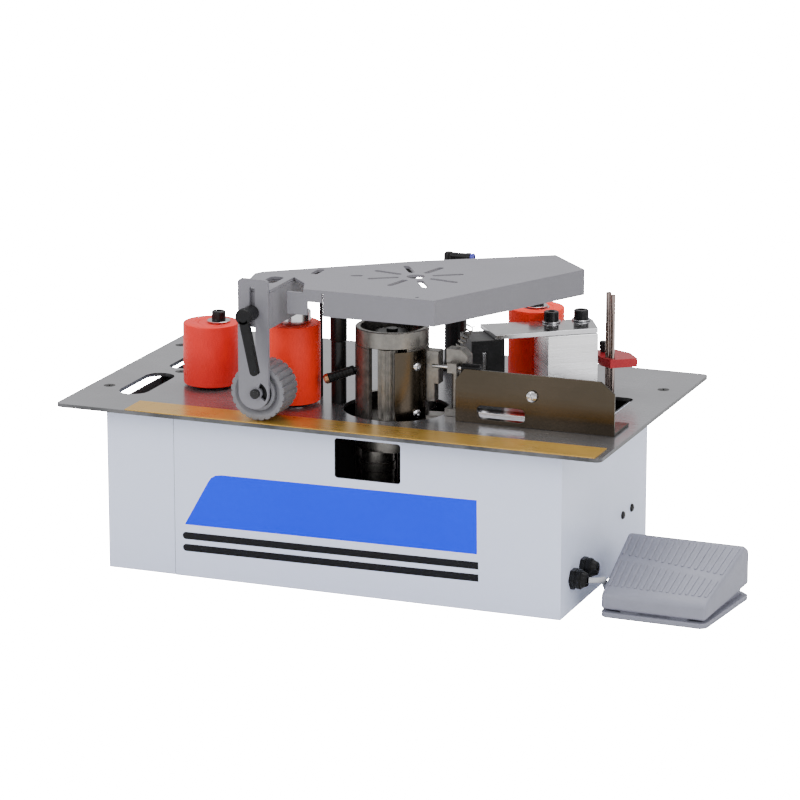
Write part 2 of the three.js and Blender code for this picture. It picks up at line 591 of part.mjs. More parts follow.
// ---------------------------------------------------------------- fence and feed
function fence() {
  const group = groupAt(0, 0, 0);
  const { left, right, front, thickness, height, foot } = FENCE;
  const bottom = TABLE_TOP + GAP;
  const top = TABLE_TOP + height;
  const face = outline([
    [left, bottom], [right, bottom], [right, top - 12], [right - 15, top], [left + 9.5, top], [left, top - 12],
  ]);
  const screwAt = [198, 214];
  const upright = cut(
    plateY(face, front, front + thickness),
    plateY(rounded(138, 190, 184.5, 199, 5), front - 1, front + thickness + 1, 2),
    cylinderY(...screwAt, 3.2, front - 1, front + thickness + 1, 12),
  );
  const base = cut(
    box(left, right, front + 1, front + foot, bottom, bottom + thickness),
    ...[150, 250].map((x) => cylinderZ(x, front + 30, 3.2, bottom - 1, bottom + 5, 12)),
  );
  add(group, 'fence_plate', union(upright, base), 'stainless');

  const screw = turned([[0, -14], [2.9, -14], [2.9, 0], [6.2, 0], [5.6, 2.2], [3, 3.3], [0, 3.3]], 0, 0, 14);
  const placed = screw.rotate([90, 0, 0]).translate([screwAt[0], front - GAP, screwAt[1]]);
  add(group, 'fence_screw', placed, 'brightSteel');
  const holder = cut(
    box(176, 216, front + thickness + GAP, front + thickness + 9, 202, 226),
    cylinderY(...screwAt, 3.2, front, front + 20, 12),
  );
  const rails = box(120, 214, front + thickness + GAP, front + thickness + 7, 186, 191);
  const bridge = box(206, 214, front + thickness + GAP, front + thickness + 7, 187, 205);
  add(group, 'tape_rail', union(rails, bridge, holder), 'brightSteel');
}

function feedUnit() {
  const feed = groupAt(BRIDGE.x, BRIDGE.y, 0, BRIDGE.turn);
  const { length, width, top, thickness } = BRIDGE;
  const under = top - thickness;
  const floor = TABLE_TOP + GAP;
  const bolts = [[73, 42], [106, 42]];

  const block = cut(
    box(57, length, 0, width, floor, under - GAP),
    ...bolts.map(([u, v]) => cylinderZ(u, v, 5.3, 226, 250, 16)),
  );
  add(feed, 'feed_block', block, 'aluminium');
  const bridge = cut(
    plateZ(outline([[0, 0], [112.5, 3], [119, 42], [117, 48], [-2, 53.5]]), under, top),
    ...bolts.map(([u, v]) => cylinderZ(u, v, 5.3, under - 1, top + 1, 16)),
  );
  add(feed, 'bridge_plate', bridge, 'brightSteel');
  bolts.forEach(([u, v], i) => {
    const screw = socketScrew(u, v, top + GAP, { shank: 4.9, depth: 22, washer: 10 });
    add(feed, i === 0 ? 'bridge_screw_left' : 'bridge_screw_right', screw, 'blackSteel');
  });

  // Cutter housing with its blade slot, and the blade that slides in it.
  const [low, high] = [198, 232];
  const housing = cut(
    box(-26, 10, 0, 45, floor, under - GAP),
    box(-14, -10, -1, 30, low, high),
  );
  add(feed, 'cutter_housing', housing, 'blackSteel');
  add(feed, 'cutter_blade', box(-14 + GAP, -10 - GAP, 0.6, 20, low + GAP, high - GAP), 'brightSteel');

  // Tape gauge: two rods in the table, a block that slides up and down them and its thumb screw.
  const rods = [[121.2, -5.3, 3, 290.5, 'left'], [124, -12, 2.5, 289, 'right']];
  rods.forEach(([u, v, radius, end, side]) => {
    add(feed, `guide_rod_${side}`, cylinderZ(u, v, radius, floor, end, 16), 'brightSteel');
  });
  const plan = outline([
    [114, -4], [120, -17.5], [150, -17.5], [150, 8], [138, 29], [121, 29], [114, 20],
  ]);
  const gauge = cut(
    plateZ(plan, 211, 220),
    ...rods.map(([u, v, radius]) => cylinderZ(u, v, radius + GAP, 200, 230, 16)),
    cylinderZ(124, 19, 1.8, 200, 230, 10),
  );
  add(feed, 'tape_gauge', gauge, 'redAnodised');
  const thumb = turned([
    [0, 213], [1.5, 213], [1.5, 220 + GAP], [3.4, 220 + GAP], [3.4, 222], [4.6, 223.5], [4.6, 231],
    [3.8, 232], [0, 232],
  ], 124, 19, 16);
  add(feed, 'gauge_thumb_screw', thumb, 'blackPlastic');
}

// Tape guide between the cutter and the glue head.
function tapeGuide() {
  const group = groupAt(0, 0, 0);
  const front = -63;
  const rodY = front - 6.2;
  const column = union(
    plateY(outline([[99, 230.5], [122, 230.5], [122, 245], [115, 251.5], [99, 251.5]]), front, front + 15),
    cylinderZ(107, front + 8, 5, TABLE_TOP + GAP, 232, 16),
    box(97, 113, front, front + 17, TABLE_TOP + GAP, 188),
  );
  const rodZ = 234;
  const bore = cylinderX(rodY, rodZ, 2.2, 90, 145, 12);
  const lug = box(104, 114, rodY - 5, front + 2, rodZ - 5, rodZ + 5);
  const spring = tube(new Helix(4.2, 30, 6), 0.8, 36, 4);
  const hook = spring.rotate([0, 28, 0]).translate([109, front + 8, 251]);
  add(group, 'tape_guide', union(column, lug).subtract(bore).add(hook), 'castAluminium');
  const rod = union(
    cylinderX(rodY, rodZ, 1.9, 86, 121, 12),
    cylinderX(rodY, rodZ, 5.7, 119, 139, 20),
    cylinderX(rodY, rodZ, 3, 117.4, 120, 16),
  );
  add(group, 'tape_tension_knob', rod, 'blackPlastic');
}

// ---------------------------------------------------------------- drive inside the cabinet
function beltLoop(ends, low) {
  const ring = (grow) => {
    const discs = ends.map(([x, y, radius]) => cylinderZ(x, y, radius + grow, low, low + BELT.width, 20));
    return wasm.Manifold.hull(discs);
  };
  const hollow = ring(GAP);
  return ring(GAP + BELT.thickness).subtract(hollow.translate([0, 0, -1]).add(hollow.translate([0, 0, 1])));
}

function drive() {
  const { x, y, size, shaft } = MOTOR;
  const group = groupAt(0, 0, 0);
  const half = size / 2;
  const motor = union(
    box(x - half, x + half, y - half, y + half, BASE + GAP, 78),
    cylinderX(y, 42, 30, x + half - 2, 165, 20),
    cylinderX(y, 42, 24, 160, 172, 20),
    box(x + half + 12, x + half + 60, y + 22, y + 40, 34, 52),
  );
  add(group, 'gear_motor', motor.subtract(cylinderZ(x, y, shaft + GAP, 60, 80, 16)), 'castAluminium');

  const pulleys = [[BELT.low, PULLEY.motorLow], [BELT.high, PULLEY.motorHigh]].map(([low, radius]) => turned([
    [0, low - 4], [radius + 3, low - 4], [radius + 3, low - 1], [radius, low - 1],
    [radius, low + BELT.width + 1], [radius + 3, low + BELT.width + 1], [radius + 3, low + BELT.width + 4],
    [0, low + BELT.width + 4],
  ], x, y, 16));
  add(group, 'motor_shaft', union(cylinderZ(x, y, shaft, 62, 162, 16), ...pulleys), 'darkSteel');
  const { feed } = ROLLERS;
  const glueLoop = [[x, y, PULLEY.motorLow], [DRUM.x, DRUM.y, PULLEY.glue]];
  const feedLoop = [[x, y, PULLEY.motorHigh], [feed.x, feed.y, PULLEY.feed]];
  add(group, 'belt_glue', beltLoop(glueLoop, BELT.low), 'rubber');
  add(group, 'belt_feed', beltLoop(feedLoop, BELT.high), 'rubber');
}

// ---------------------------------------------------------------- rear fittings
function rearFittings() {
  const group = groupAt(0, 0, 0);
  const face = CABINET.halfDepth;
  const rocker = outline([[face - 10, 92.6], [face + 1, 90.6], [face + 4.5, 111.4], [face - 10, 109.4]]);
  add(group, 'power_rocker', plateX(rocker, -105.4, -80.6, 2), 'redAnodised');
  const knob = turned([
    [0, -9], [3.1, -9], [3.1, GAP], [11, GAP], [11, 3], [9.4, 15], [8.6, 16], [0, 16],
  ], 0, 0, 16);
  add(group, 'speed_knob', knob.rotate([-90, 0, 0]).translate([-40, face, 101]), 'blackPlastic');

  // Pneumatic cylinder of the cutter, its elbow and the elbow's release collar.
  const stem = [38, 126];
  const cylinder = union(
    cylinderZ(...stem, 12.5, TABLE_TOP + GAP, 285, 18),
    box(stem[0] - 15, stem[0] + 15, stem[1] - 15, stem[1] + 15, TABLE_TOP + GAP, 186),
    cylinderZ(stem[0] - 8, stem[1], 5.5, 284, 309, 16),
    cylinderX(stem[1], 304.5, 4.4, stem[0] - 10, stem[0] + 17, 16),
  );
  add(group, 'air_cylinder', cylinder, 'blackPlastic');
  const collar = cylinderX(stem[1], 304.5, 4.8, stem[0] + 17 + GAP, stem[0] + 21, 16);
  add(group, 'air_collar', collar, 'bluePlastic');
}

// Cable glands in the right end: a hexagon, a domed nut and the threaded tail through the sheet.
function glands() {
  const group = groupAt(0, 0, 0);
  [['cord_gland_front', -106, 35, true], ['cord_gland_rear', -74, 38, false]].forEach(([name, y, z, bored]) => {
    const tail = [[0, -7], [7.7, -7], [7.7, GAP], [8.6, GAP]];
    const dome = [[8.6, 7], [9.4, 7], [9.4, 12], [6, 17.5], [0, 17.5]];
    const nut = turned([...tail, ...dome], 0, 0, 16);
    const hexagon = turned([[0, GAP], [11.4, GAP], [11.4, 7], [0, 7]], 0, 0, 6);
    const body = union(nut, hexagon);
    const gland = bored ? body.subtract(cylinderZ(0, 0, CORD.radius + GAP, 6, 30, 16)) : body;
    add(group, name, gland.rotate([0, 90, 0]).translate([CABINET.halfWidth, y, z]), 'blackPlastic');
  });
}

// ---------------------------------------------------------------- foot pedal and its cord
function pedal() {
  const group = groupAt(PEDAL.x, PEDAL.y, 0, PEDAL.turn);
  const { front, spread, depth } = PEDAL;
  const pivot = { y: 10, z: 13.5 };

  // Plan that widens towards the rear, drawn in from its sides and ends.
  const plan = (side, start, end) => outline([
    [side, start], [front - side, start], [front + spread - side, end], [side - spread, end],
  ]);
  const rim = outline([
    [5, 0], [front - 5, 0], [front, 5], [front + spread, depth - 9], [front + spread - 9, depth],
    [9 - spread, depth], [-spread, depth - 9], [0, 5],
  ]);
  const base = cut(
    union(
      plateZ(rim, 0, 5.5),
      plateZ(plan(8, 7, depth - 8), 0, 14),
      ...[30, front - 30].map((x) => cylinderX(pivot.y, pivot.z, 4.5, x - 9, x + 9, 16)),
      ...[30, front - 30].map((x) => box(x - 9, x + 9, pivot.y - 4.5, pivot.y + 8, 3, pivot.z)),
    ),
    plateZ(rounded(12, front - 12, 26, depth - 12, 4), 3, 20, 1),
    ...[-1, front - 19.5].map((x) => box(x, x + 20.5, 1, pivot.y + 9, 5.5, 30)),
    cylinderX(pivot.y, pivot.z, 2.8, -1, front + 1, 16),
    box(72, 79.6, depth - 16, depth + 1, -1, 6.9),
  );
  add(group, 'pedal_base', base, 'pedalGrey');

  // Treadle: a shell that hinges at the low front end.
  const profile = outline([
    [1, 8], [depth - 3, 15], [depth - 3, 52], [depth - 14, 59], [depth * 0.5, 44.3], [9, 28], [1, 23],
  ]);
  const hollow = outline([
    [4, 5], [depth - 6, 5], [depth - 6, 50], [depth - 15, 55.3], [depth * 0.5, 40.8], [10, 24.7], [4, 20.5],
  ]);
  const within = (section, side) =>
    plateX(section, -spread - 1, front + spread + 1).intersect(plateZ(plan(side, 0, depth), 0, 80));
  const treadle = within(profile, 0.5).subtract(within(hollow, 3.5));
  const hubs = [[3, 18], [front - 18, front - 3]].map(([x0, x1]) =>
    union(cylinderX(pivot.y, pivot.z, 6, x0, x1, 20), box(x0, x1, pivot.y - 6, pivot.y + 5, pivot.z, 24)));
  const bore = cylinderX(pivot.y, pivot.z, 2.8, 3, front - 3, 16);
  add(group, 'pedal_treadle', union(treadle, ...hubs).subtract(bore), 'pedalGrey');
  add(group, 'pedal_pin', cylinderX(pivot.y, pivot.z, 2.5, 4, front - 4, 16), 'darkSteel');
}

// Foot-switch cord: out of the gland, back along the cabinet, round in a coil and into the pedal.
function pedalCord() {
  const group = groupAt(0, 0, 0);
  const { radius, coilX, coilY, coilRadius } = CORD;
  const lie = radius + 0.2;
  const start = CABINET.halfWidth + 18 + GAP;
  const inner = coilRadius - 9;
  const outer = coilRadius + 9;
  const lead = [
    [start, -106, 35], [start + 3.2, -105.8, 35], [start + 6.6, -104.6, 34.9], [start + 9.2, -101.8, 34.7],
    [start + 10.3, -97.4, 34.3], [start + 9.7, -91.5, 33.6], [start + 7.6, -82, 30.2], [start + 4.4, -68, 22.4],
    [start + 0.8, -54, 14], [start - 2, -40, 7.6], [start - 3.6, -26, 4.2], [start - 4, -12, lie],
    [start - 3.5, 4, lie], [start - 1, 22, lie], [start + 2, 42, lie], [start + 3.8, 62, lie],
    [coilX - outer - GAP - radius, coilY, lie],
  ];
  const tail = [
    [coilX + outer + GAP + radius, coilY, lie], [361.7, 62, lie], [362.6, 42, lie], [363.4, 28, lie],
    [363.6, 16, lie], [363.3, 8, lie], [362.7, -1, lie],
  ];
  [['pedal_cord_lead', lead, 22], ['pedal_cord_tail', tail, 10]].forEach(([name, route, steps]) => {
    const points = route.map((point) => new THREE.Vector3(...point));
    const curve = new THREE.CatmullRomCurve3(points, false, 'centripetal');
    add(group, name, tube(curve, radius, steps, 6), 'cordGrey');
  });
  const coil = turned([[inner, 0.2], [outer, 0.2], [outer, 13], [inner, 13], [inner, 0.2]], coilX, coilY, 20);
  add(group, 'pedal_cord_coil', coil, 'cordGrey');
}

cabinet();
table();
rollers();
glueHead();
cover();
pressUnit();
fence();
feedUnit();
tapeGuide();
drive();
rearFittings();
glands();
pedal();
pedalCord();

export default machine;
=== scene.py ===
"""Edge banding machine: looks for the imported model. Blender 4.5, metres, +Z up."""
import json
import math

import bmesh
import bpy
from mathutils import Matrix, Vector


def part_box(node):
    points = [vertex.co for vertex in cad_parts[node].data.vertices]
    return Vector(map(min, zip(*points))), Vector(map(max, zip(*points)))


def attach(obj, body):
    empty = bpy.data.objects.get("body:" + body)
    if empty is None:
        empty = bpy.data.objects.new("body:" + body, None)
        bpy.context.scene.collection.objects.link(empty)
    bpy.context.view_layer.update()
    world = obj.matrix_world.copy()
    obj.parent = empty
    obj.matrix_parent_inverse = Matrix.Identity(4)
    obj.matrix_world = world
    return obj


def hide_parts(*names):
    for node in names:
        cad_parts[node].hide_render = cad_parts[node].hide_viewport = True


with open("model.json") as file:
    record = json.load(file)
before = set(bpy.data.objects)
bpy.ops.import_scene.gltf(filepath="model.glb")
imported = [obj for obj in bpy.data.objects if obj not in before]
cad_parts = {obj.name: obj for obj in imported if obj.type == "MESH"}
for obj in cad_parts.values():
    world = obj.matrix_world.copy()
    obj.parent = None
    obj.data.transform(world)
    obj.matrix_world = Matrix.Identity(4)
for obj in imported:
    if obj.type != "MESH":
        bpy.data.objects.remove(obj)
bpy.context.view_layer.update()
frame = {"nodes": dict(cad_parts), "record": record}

MM = 0.001
BODY = "machine"
CABINET_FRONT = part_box("cabinet_wrap")[0].y
CABINET_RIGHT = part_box("cabinet_wrap")[1].x
TABLE_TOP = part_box("table_plate")[1].z


# ------------------------------------------------------------------ camera and cord
def make_camera():
    data = bpy.data.cameras.new("camera")
    data.lens = 173.97
    data.sensor_width = 36
    data.clip_end = 50
    camera = bpy.data.objects.new("camera", data)
    camera.location = (1.4614, -3.6647, 1.2080)
    camera.rotation_euler = (math.radians(75.29), 0, math.radians(21.43))
    bpy.context.scene.collection.objects.link(camera)
    bpy.context.scene.camera = camera


def smooth_route(points, steps=8):
    """Centripetal Catmull-Rom curve through the points, as a list of vectors."""
    points = [Vector(p) for p in points]
    ends = [2 * points[0] - points[1]] + points + [2 * points[-1] - points[-2]]
    route = []
    for p0, p1, p2, p3 in zip(ends, ends[1:], ends[2:], ends[3:]):
        knots = [0.0]
        for a, b in ((p0, p1), (p1, p2), (p2, p3)):
            knots.append(knots[-1] + max((b - a).length, 1e-6) ** 0.5)
        k0, k1, k2, k3 = knots
        for i in range(steps):
            t = k1 + (k2 - k1) * i / steps
            a1 = p0.lerp(p1, (t - k0) / (k1 - k0))
            a2 = p1.lerp(p2, (t - k1) / (k2 - k1))
            a3 = p2.lerp(p3, (t - k2) / (k3 - k2))
            b1 = a1.lerp(a2, (t - k0) / (k2 - k0))
            b2 = a2.lerp(a3, (t - k1) / (k3 - k1))
            route.append(b1.lerp(b2, (t - k1) / (k2 - k1)))
    return route + [points[-1]]


def make_cord():
    """Foot-switch cord: gland, floor, two flat layers of a coil, and into the pedal's base."""
    radius = 3.0
    lie = radius + 0.2
    start = 270.3
    coil_x, coil_y, coil_radius = 318, 80, 31
    lead = [
        (start, -106, 35), (start + 3.6, -104.6, 34.8), (start + 6.7, -102, 34.4),
        (start + 8.9, -98.6, 33.9), (start + 10, -94.7, 33.2), (start + 10, -90.7, 32.2),
        (start + 8.3, -82, 29.4), (start + 4.4, -68, 22.4), (start + 0.8, -54, 14),
        (start - 2, -40, 7.6), (start - 3.6, -26, 4.2), (start - 4, -12, lie),
        (start - 3.5, 4, lie), (start - 1, 22, lie), (start + 2, 42, lie), (start + 4.6, 60, lie),
    ]
    turns = []
    samples = 96
    for i in range(samples + 1):
        share = i / samples
        angle = math.pi - share * 4 * 2 * math.pi - math.pi * share
        swing = abs(1 - 2 * share)
        reach = coil_radius - 6 + 12 * swing
        height = lie + 6.2 * min(max((share - 0.47) / 0.06, 0), 1)
        turns.append((coil_x + reach * math.cos(angle), coil_y + reach * math.sin(angle), height))
    tail = [
        (361.9, 60, lie + 1.0), (362.6, 42, lie), (363.4, 28, lie), (363.6, 16, lie), (363.3, 8, lie),
        (362.7, -1, lie),
    ]
    route = [p * MM for p in smooth_route(lead + turns[3:-3] + tail)]
    curve = bpy.data.curves.new("pedal_cord", "CURVE")
    curve.dimensions = "3D"
    curve.bevel_depth = 1
    curve.bevel_resolution = 5
    curve.use_fill_caps = True
    spline = curve.splines.new("POLY")
    spline.points.add(len(route) - 1)
    for point, place in zip(spline.points, route):
        point.co = (*place, 1)
        point.radius = radius * MM
    cord = bpy.data.objects.new("pedal_cord", curve)
    bpy.context.scene.collection.objects.link(cord)
    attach(cord, BODY)
    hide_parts("pedal_cord_lead", "pedal_cord_tail", "pedal_cord_coil")
    return cord


# ------------------------------------------------------------------ materials
def surface(name, color, roughness, metallic=0.0, *, vary=0.06, size=60, stretch=(1, 1, 1),
            rough_vary=0.06, grain=900, grain_depth=0.02, grain_stretch=(1, 1, 1), **sockets):
    """Principled material: cloudy colour and roughness, and a fine grain as bump."""
    material = bpy.data.materials.new(name)
    material.use_nodes = True
    nodes, links = material.node_tree.nodes, material.node_tree.links
    shader = nodes["Principled BSDF"]
    shader.inputs["Metallic"].default_value = metallic
    for key, value in sockets.items():
        shader.inputs[key.replace("_", " ")].default_value = value
    place = nodes.new("ShaderNodeTexCoord")

    def noise(scale, stretched, detail):
        mapping = nodes.new("ShaderNodeMapping")
        mapping.inputs["Scale"].default_value = stretched
        texture = nodes.new("ShaderNodeTexNoise")
        texture.inputs["Scale"].default_value = scale
        texture.inputs["Detail"].default_value = detail
        texture.inputs["Roughness"].default_value = 0.55
        links.new(place.outputs["Object"], mapping.inputs["Vector"])
        links.new(mapping.outputs["Vector"], texture.inputs["Vector"])
        return texture.outputs["Fac"]

    def ranged(value, low, high, source=(0.3, 0.7)):
        node = nodes.new("ShaderNodeMapRange")
        for key, number in zip(("From Min", "From Max", "To Min", "To Max"), (*source, low, high)):
            node.inputs[key].default_value = number
        links.new(value, node.inputs["Value"])
        return node.outputs["Result"]

    cloud = noise(size, stretch, 5)
    fine = noise(grain, grain_stretch, 3)
    mix = nodes.new("ShaderNodeMix")
    mix.data_type = "RGBA"
    mix.inputs["A"].default_value = (*[c * (1 - vary) for c in color], 1)
    mix.inputs["B"].default_value = (*[min(c * (1 + vary), 1) for c in color], 1)
    links.new(ranged(cloud, 0, 1), mix.inputs["Factor"])
    links.new(mix.outputs["Result"], shader.inputs["Base Color"])
    both = nodes.new("ShaderNodeMath")
    both.operation = "MULTIPLY_ADD"
    both.inputs[1].default_value = 0.5
    links.new(fine, both.inputs[0])
    half = nodes.new("ShaderNodeMath")
    half.operation = "MULTIPLY"
    half.inputs[1].default_value = 0.5
    links.new(cloud, half.inputs[0])
    links.new(half.outputs["Value"], both.inputs[2])
    low, high = max(roughness - rough_vary, 0.03), min(roughness + rough_vary, 1)
    links.new(ranged(both.outputs["Value"], low, high), shader.inputs["Roughness"])
    bump = nodes.new("ShaderNodeBump")
    bump.inputs["Strength"].default_value = 1.0
    bump.inputs["Distance"].default_value = grain_depth * MM
    links.new(fine, bump.inputs["Height"])
    links.new(bump.outputs["Normal"], shader.inputs["Normal"])
    return material


def make_materials():
    brushed_x = (0.03, 1, 1)
    return {
        "cabinet_paint": surface(
            "cabinet_paint", (0.74, 0.80, 1.0), 0.38, vary=0.012, size=9, grain=1100, grain_depth=0.03),
        # Painted shade: near-black stand-in for the cabinet's white inner walls, which sit in shade inside
        # the closed cabinet.
        "cabinet_inside": surface("cabinet_inside", (0.035, 0.036, 0.04), 0.7, vary=0.15, size=20),
        "table_steel": surface(
            "table_steel", (0.36, 0.36, 0.385), 0.24, 0.88, vary=0.09, size=14, rough_vary=0.07,
            grain=500, grain_depth=0.01, grain_stretch=(0.06, 1, 1)),
        "table_edge": surface(
            "table_edge", (0.10, 0.10, 0.105), 0.4, 0.8, vary=0.5, size=30, grain=900, grain_depth=0.03),
        "brass_strip": surface(
            "brass_strip", (0.62, 0.37, 0.075), 0.3, 0.7, vary=0.06, size=25, grain=700,
            grain_depth=0.01, grain_stretch=brushed_x),
        "silicone": surface(
            "silicone", (0.98, 0.035, 0.012), 0.45, vary=0.04, size=45, grain=700, grain_depth=0.03,
            Specular_IOR_Level=0.22),
        # Painted shade: a darker copy of the red silicone, for the outfeed roller, which stands in shade.
        "silicone_deep": surface(
            "silicone_deep", (0.78, 0.022, 0.016), 0.42, vary=0.05, size=45, grain=700, grain_depth=0.03,
            Specular_IOR_Level=0.25),
        "bright_steel": surface(
            "bright_steel", (0.58, 0.58, 0.6), 0.18, 1.0, vary=0.06, size=80, grain=900,
            grain_depth=0.012, grain_stretch=(0.05, 0.05, 1)),
        # Painted reflection: steel tinted dark red-brown, standing in for the red block and rollers mirrored
        # in the polished rods.
        "rod_steel": surface(
            "rod_steel", (0.30, 0.24, 0.22), 0.16, 1.0, vary=0.12, size=60, grain=900,
            grain_depth=0.01, grain_stretch=(0.05, 0.05, 1)),
        "black_steel": surface(
            "black_steel", (0.010, 0.010, 0.011), 0.33, vary=0.25, size=90, grain=1200, grain_depth=0.02,
            Specular_IOR_Level=0.3),
        "dark_steel": surface(
            "dark_steel", (0.085, 0.085, 0.09), 0.33, 0.9, vary=0.18, size=70, grain=900, grain_depth=0.03),
        "cast_metal": surface(
            "cast_metal", (0.21, 0.20, 0.185), 0.36, 0.92, vary=0.22, size=120, rough_vary=0.12,
            grain=420, grain_depth=0.12),
        "brown_stainless": surface(
            "brown_stainless", (0.062, 0.050, 0.036), 0.2, 1.0, vary=0.14, size=16, rough_vary=0.07,
            grain=700, grain_depth=0.01, grain_stretch=brushed_x),
        "cover_paint": surface(
            "cover_paint", (0.185, 0.182, 0.205), 0.4, vary=0.035, size=18, grain=1000, grain_depth=0.04,
            Specular_IOR_Level=0.4),
        "milled_aluminium": surface(
            "milled_aluminium", (0.86, 0.86, 0.87), 0.28, 1.0, vary=0.13, size=130,
            stretch=(0.06, 0.06, 1), rough_vary=0.1, grain=420, grain_depth=0.07,
            grain_stretch=(0.02, 0.02, 1)),
        "belt_rubber": surface("belt_rubber", (0.012, 0.012, 0.012), 0.7, vary=0.2, Specular_IOR_Level=0.2),
        "black_plastic": surface(
            "black_plastic", (0.010, 0.010, 0.011), 0.34, vary=0.25, size=80, grain=1500, grain_depth=0.02,
            Specular_IOR_Level=0.15),
        "blue_plastic": surface("blue_plastic", (0.03, 0.03, 0.4), 0.3, vary=0.08),
        "copper": surface("copper", (0.5, 0.24, 0.13), 0.3, 1.0, vary=0.12, size=150),
        "wheel_plastic": surface(
            "wheel_plastic", (0.16, 0.16, 0.175), 0.42, vary=0.1, size=70, grain=900, grain_depth=0.04),
        "red_anodised": surface(
            "red_anodised", (0.36, 0.012, 0.02), 0.34, 0.4, vary=0.08, size=90, grain=900,
            grain_depth=0.015),
        "red_plastic": surface("red_plastic", (0.6, 0.02, 0.02), 0.35, vary=0.06),
        "pedal_plastic": surface(
            "pedal_plastic", (0.235, 0.24, 0.295), 0.5, vary=0.05, size=40, grain=1600, grain_depth=0.05,
            Specular_IOR_Level=0.35),
        "cord_plastic": surface(
            "cord_plastic", (0.46, 0.47, 0.5), 0.5, vary=0.05, size=60, grain=1200, grain_depth=0.02),
        "label_blue": surface(
            "label_blue", (0.0, 0.028, 0.95), 0.4, vary=0.03, size=12, grain_depth=0.004,
            Specular_IOR_Level=0.12),
        "label_white": surface("label_white", (0.88, 0.89, 0.95), 0.4, vary=0.02, grain_depth=0.004),
        "label_black": surface(
            "label_black", (0.006, 0.006, 0.008), 0.4, vary=0.1, grain_depth=0.004,
            Specular_IOR_Level=0.15),
    }


def dress_cad():
    """Every CAD node that still shows gets its material, eased edges and smooth round walls."""
    slots = {s["node"]: s["material_slot"] for s in frame["record"]["subparts"]}
    for name, node in frame["nodes"].items():
        node.data.materials.clear()
        node.data.materials.append(MATERIALS[slots[name]])
        soften(node, EASED.get(name, 0.35))
    # Painted shade: the inner faces of the wrap and end cap take the near-black material, so the slots and
    # holes read dark.
    darken("cabinet_wrap", "cabinet_inside", lambda centre: not on_cabinet_skin(centre))
    darken("left_end_cap", "cabinet_inside", lambda centre: not on_cabinet_skin(centre))
    darken("table_plate", "table_edge", lambda centre: centre.z < TABLE_TOP - 0.5 * MM)


def on_cabinet_skin(centre):
    low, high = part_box("left_end_cap")[0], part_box("cabinet_wrap")[1]
    near = 0.5 * MM
    return min(centre.x - low.x, high.x - centre.x, centre.y - low.y, high.y - centre.y) < near


def darken(name, material, test):
    """A second material on the faces of a CAD node whose centres pass the test."""
    mesh = frame["nodes"][name].data
    mesh.materials.append(MATERIALS[material])
    for polygon in mesh.polygons:
        if test(polygon.center):
            polygon.material_index = 1


def soften(piece, width, segments=2):
    """Welds, rounds the sharp edges by width in mm and shades the rest smoothly."""
    weld = piece.modifiers.new("weld", "WELD")
    weld.merge_threshold = 1e-6
    bevel = piece.modifiers.new("bevel", "BEVEL")
    bevel.width = width * MM
    bevel.segments = segments
    bevel.limit_method = "ANGLE"
    bevel.angle_limit = math.radians(32)
    for polygon in piece.data.polygons:
        polygon.use_smooth = True
    piece.modifiers.new("normals", "WEIGHTED_NORMAL").keep_sharp = True


# ------------------------------------------------------------------ piece builders
def finished(name, mesh, material, body=BODY, replaces=()):
    piece = bpy.data.objects.new(name, mesh)
    bpy.context.scene.collection.objects.link(piece)
    mesh.materials.append(MATERIALS[material])
    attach(piece, body)
    if replaces:
        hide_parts(*replaces)
    return piece


def middle(corners):
    """Middle in plan, in mm, of a box given by its lowest and highest corners."""
    low, high = corners
    return (low.x + high.x) / 2 / MM, (low.y + high.y) / 2 / MM


def frame_of(axis, at):
    """Matrix that stands local +Z along axis at a place given in mm."""
    turn = Vector((0, 0, 1)).rotation_difference(Vector(axis)).to_matrix().to_4x4()
    return Matrix.Translation(Vector(at) * MM) @ turn


def lathe_mesh(name, profile, at=(0, 0, 0), axis=(0, 0, 1), segments=96):
    """Turned mesh from (radius, height) pairs in mm; the first and last lie on the axis or meet."""
    bm = bmesh.new()
    rings = []
    for radius, height in profile:
        if radius == 0:
            rings.append([bm.verts.new((0, 0, height * MM))])
            continue
        angles = [2 * math.pi * i / segments for i in range(segments)]
        reach = radius * MM
        rings.append([
            bm.verts.new((reach * math.cos(a), reach * math.sin(a), height * MM)) for a in angles])
    if profile[0] == profile[-1]:
        for vertex in rings[-1]:
            bm.verts.remove(vertex)
        rings[-1] = rings[0]
    for low, high in zip(rings, rings[1:]):
        for i in range(segments):
            j = (i + 1) % segments
            corners = [low[i % len(low)], low[j % len(low)], high[j % len(high)], high[i % len(high)]]
            bm.faces.new(list(dict.fromkeys(corners)))
    bmesh.ops.recalc_face_normals(bm, faces=bm.faces)
    bm.transform(frame_of(axis, at))
    for face in bm.faces:
        face.smooth = True
    mesh = bpy.data.meshes.new(name)
    bm.to_mesh(mesh)
    bm.free()
    mesh.set_sharp_from_angle(angle=math.radians(35))
    return mesh


def prism_mesh(name, outline, low, high, place=Matrix.Identity(4)):
    """Prism over an outline of (x, y) mm, from low to high along local Z."""
    bm = bmesh.new()
    bottom = [bm.verts.new((x * MM, y * MM, low * MM)) for x, y in outline]
    top = [bm.verts.new((x * MM, y * MM, high * MM)) for x, y in outline]
    bm.faces.new(bottom)
    bm.faces.new(top)
    for i in range(len(outline)):
        j = (i + 1) % len(outline)
        bm.faces.new((bottom[i], bottom[j], top[j], top[i]))
    bmesh.ops.recalc_face_normals(bm, faces=bm.faces)
    bm.transform(place)
    mesh = bpy.data.meshes.new(name)
    bm.to_mesh(mesh)
    bm.free()
    return mesh


def arc(x, y, radius, start, end, steps=12):
    angles = [math.radians(start + (end - start) * i / steps) for i in range(steps + 1)]
    return [(x + radius * math.cos(a), y + radius * math.sin(a)) for a in angles]


def rounded(x0, x1, y0, y1, radius, steps=8):
    r = radius
    return (arc(x1 - r, y0 + r, r, -90, 0, steps) + arc(x1 - r, y1 - r, r, 0, 90, steps)
            + arc(x0 + r, y1 - r, r, 90, 180, steps) + arc(x0 + r, y0 + r, r, 180, 270, steps))


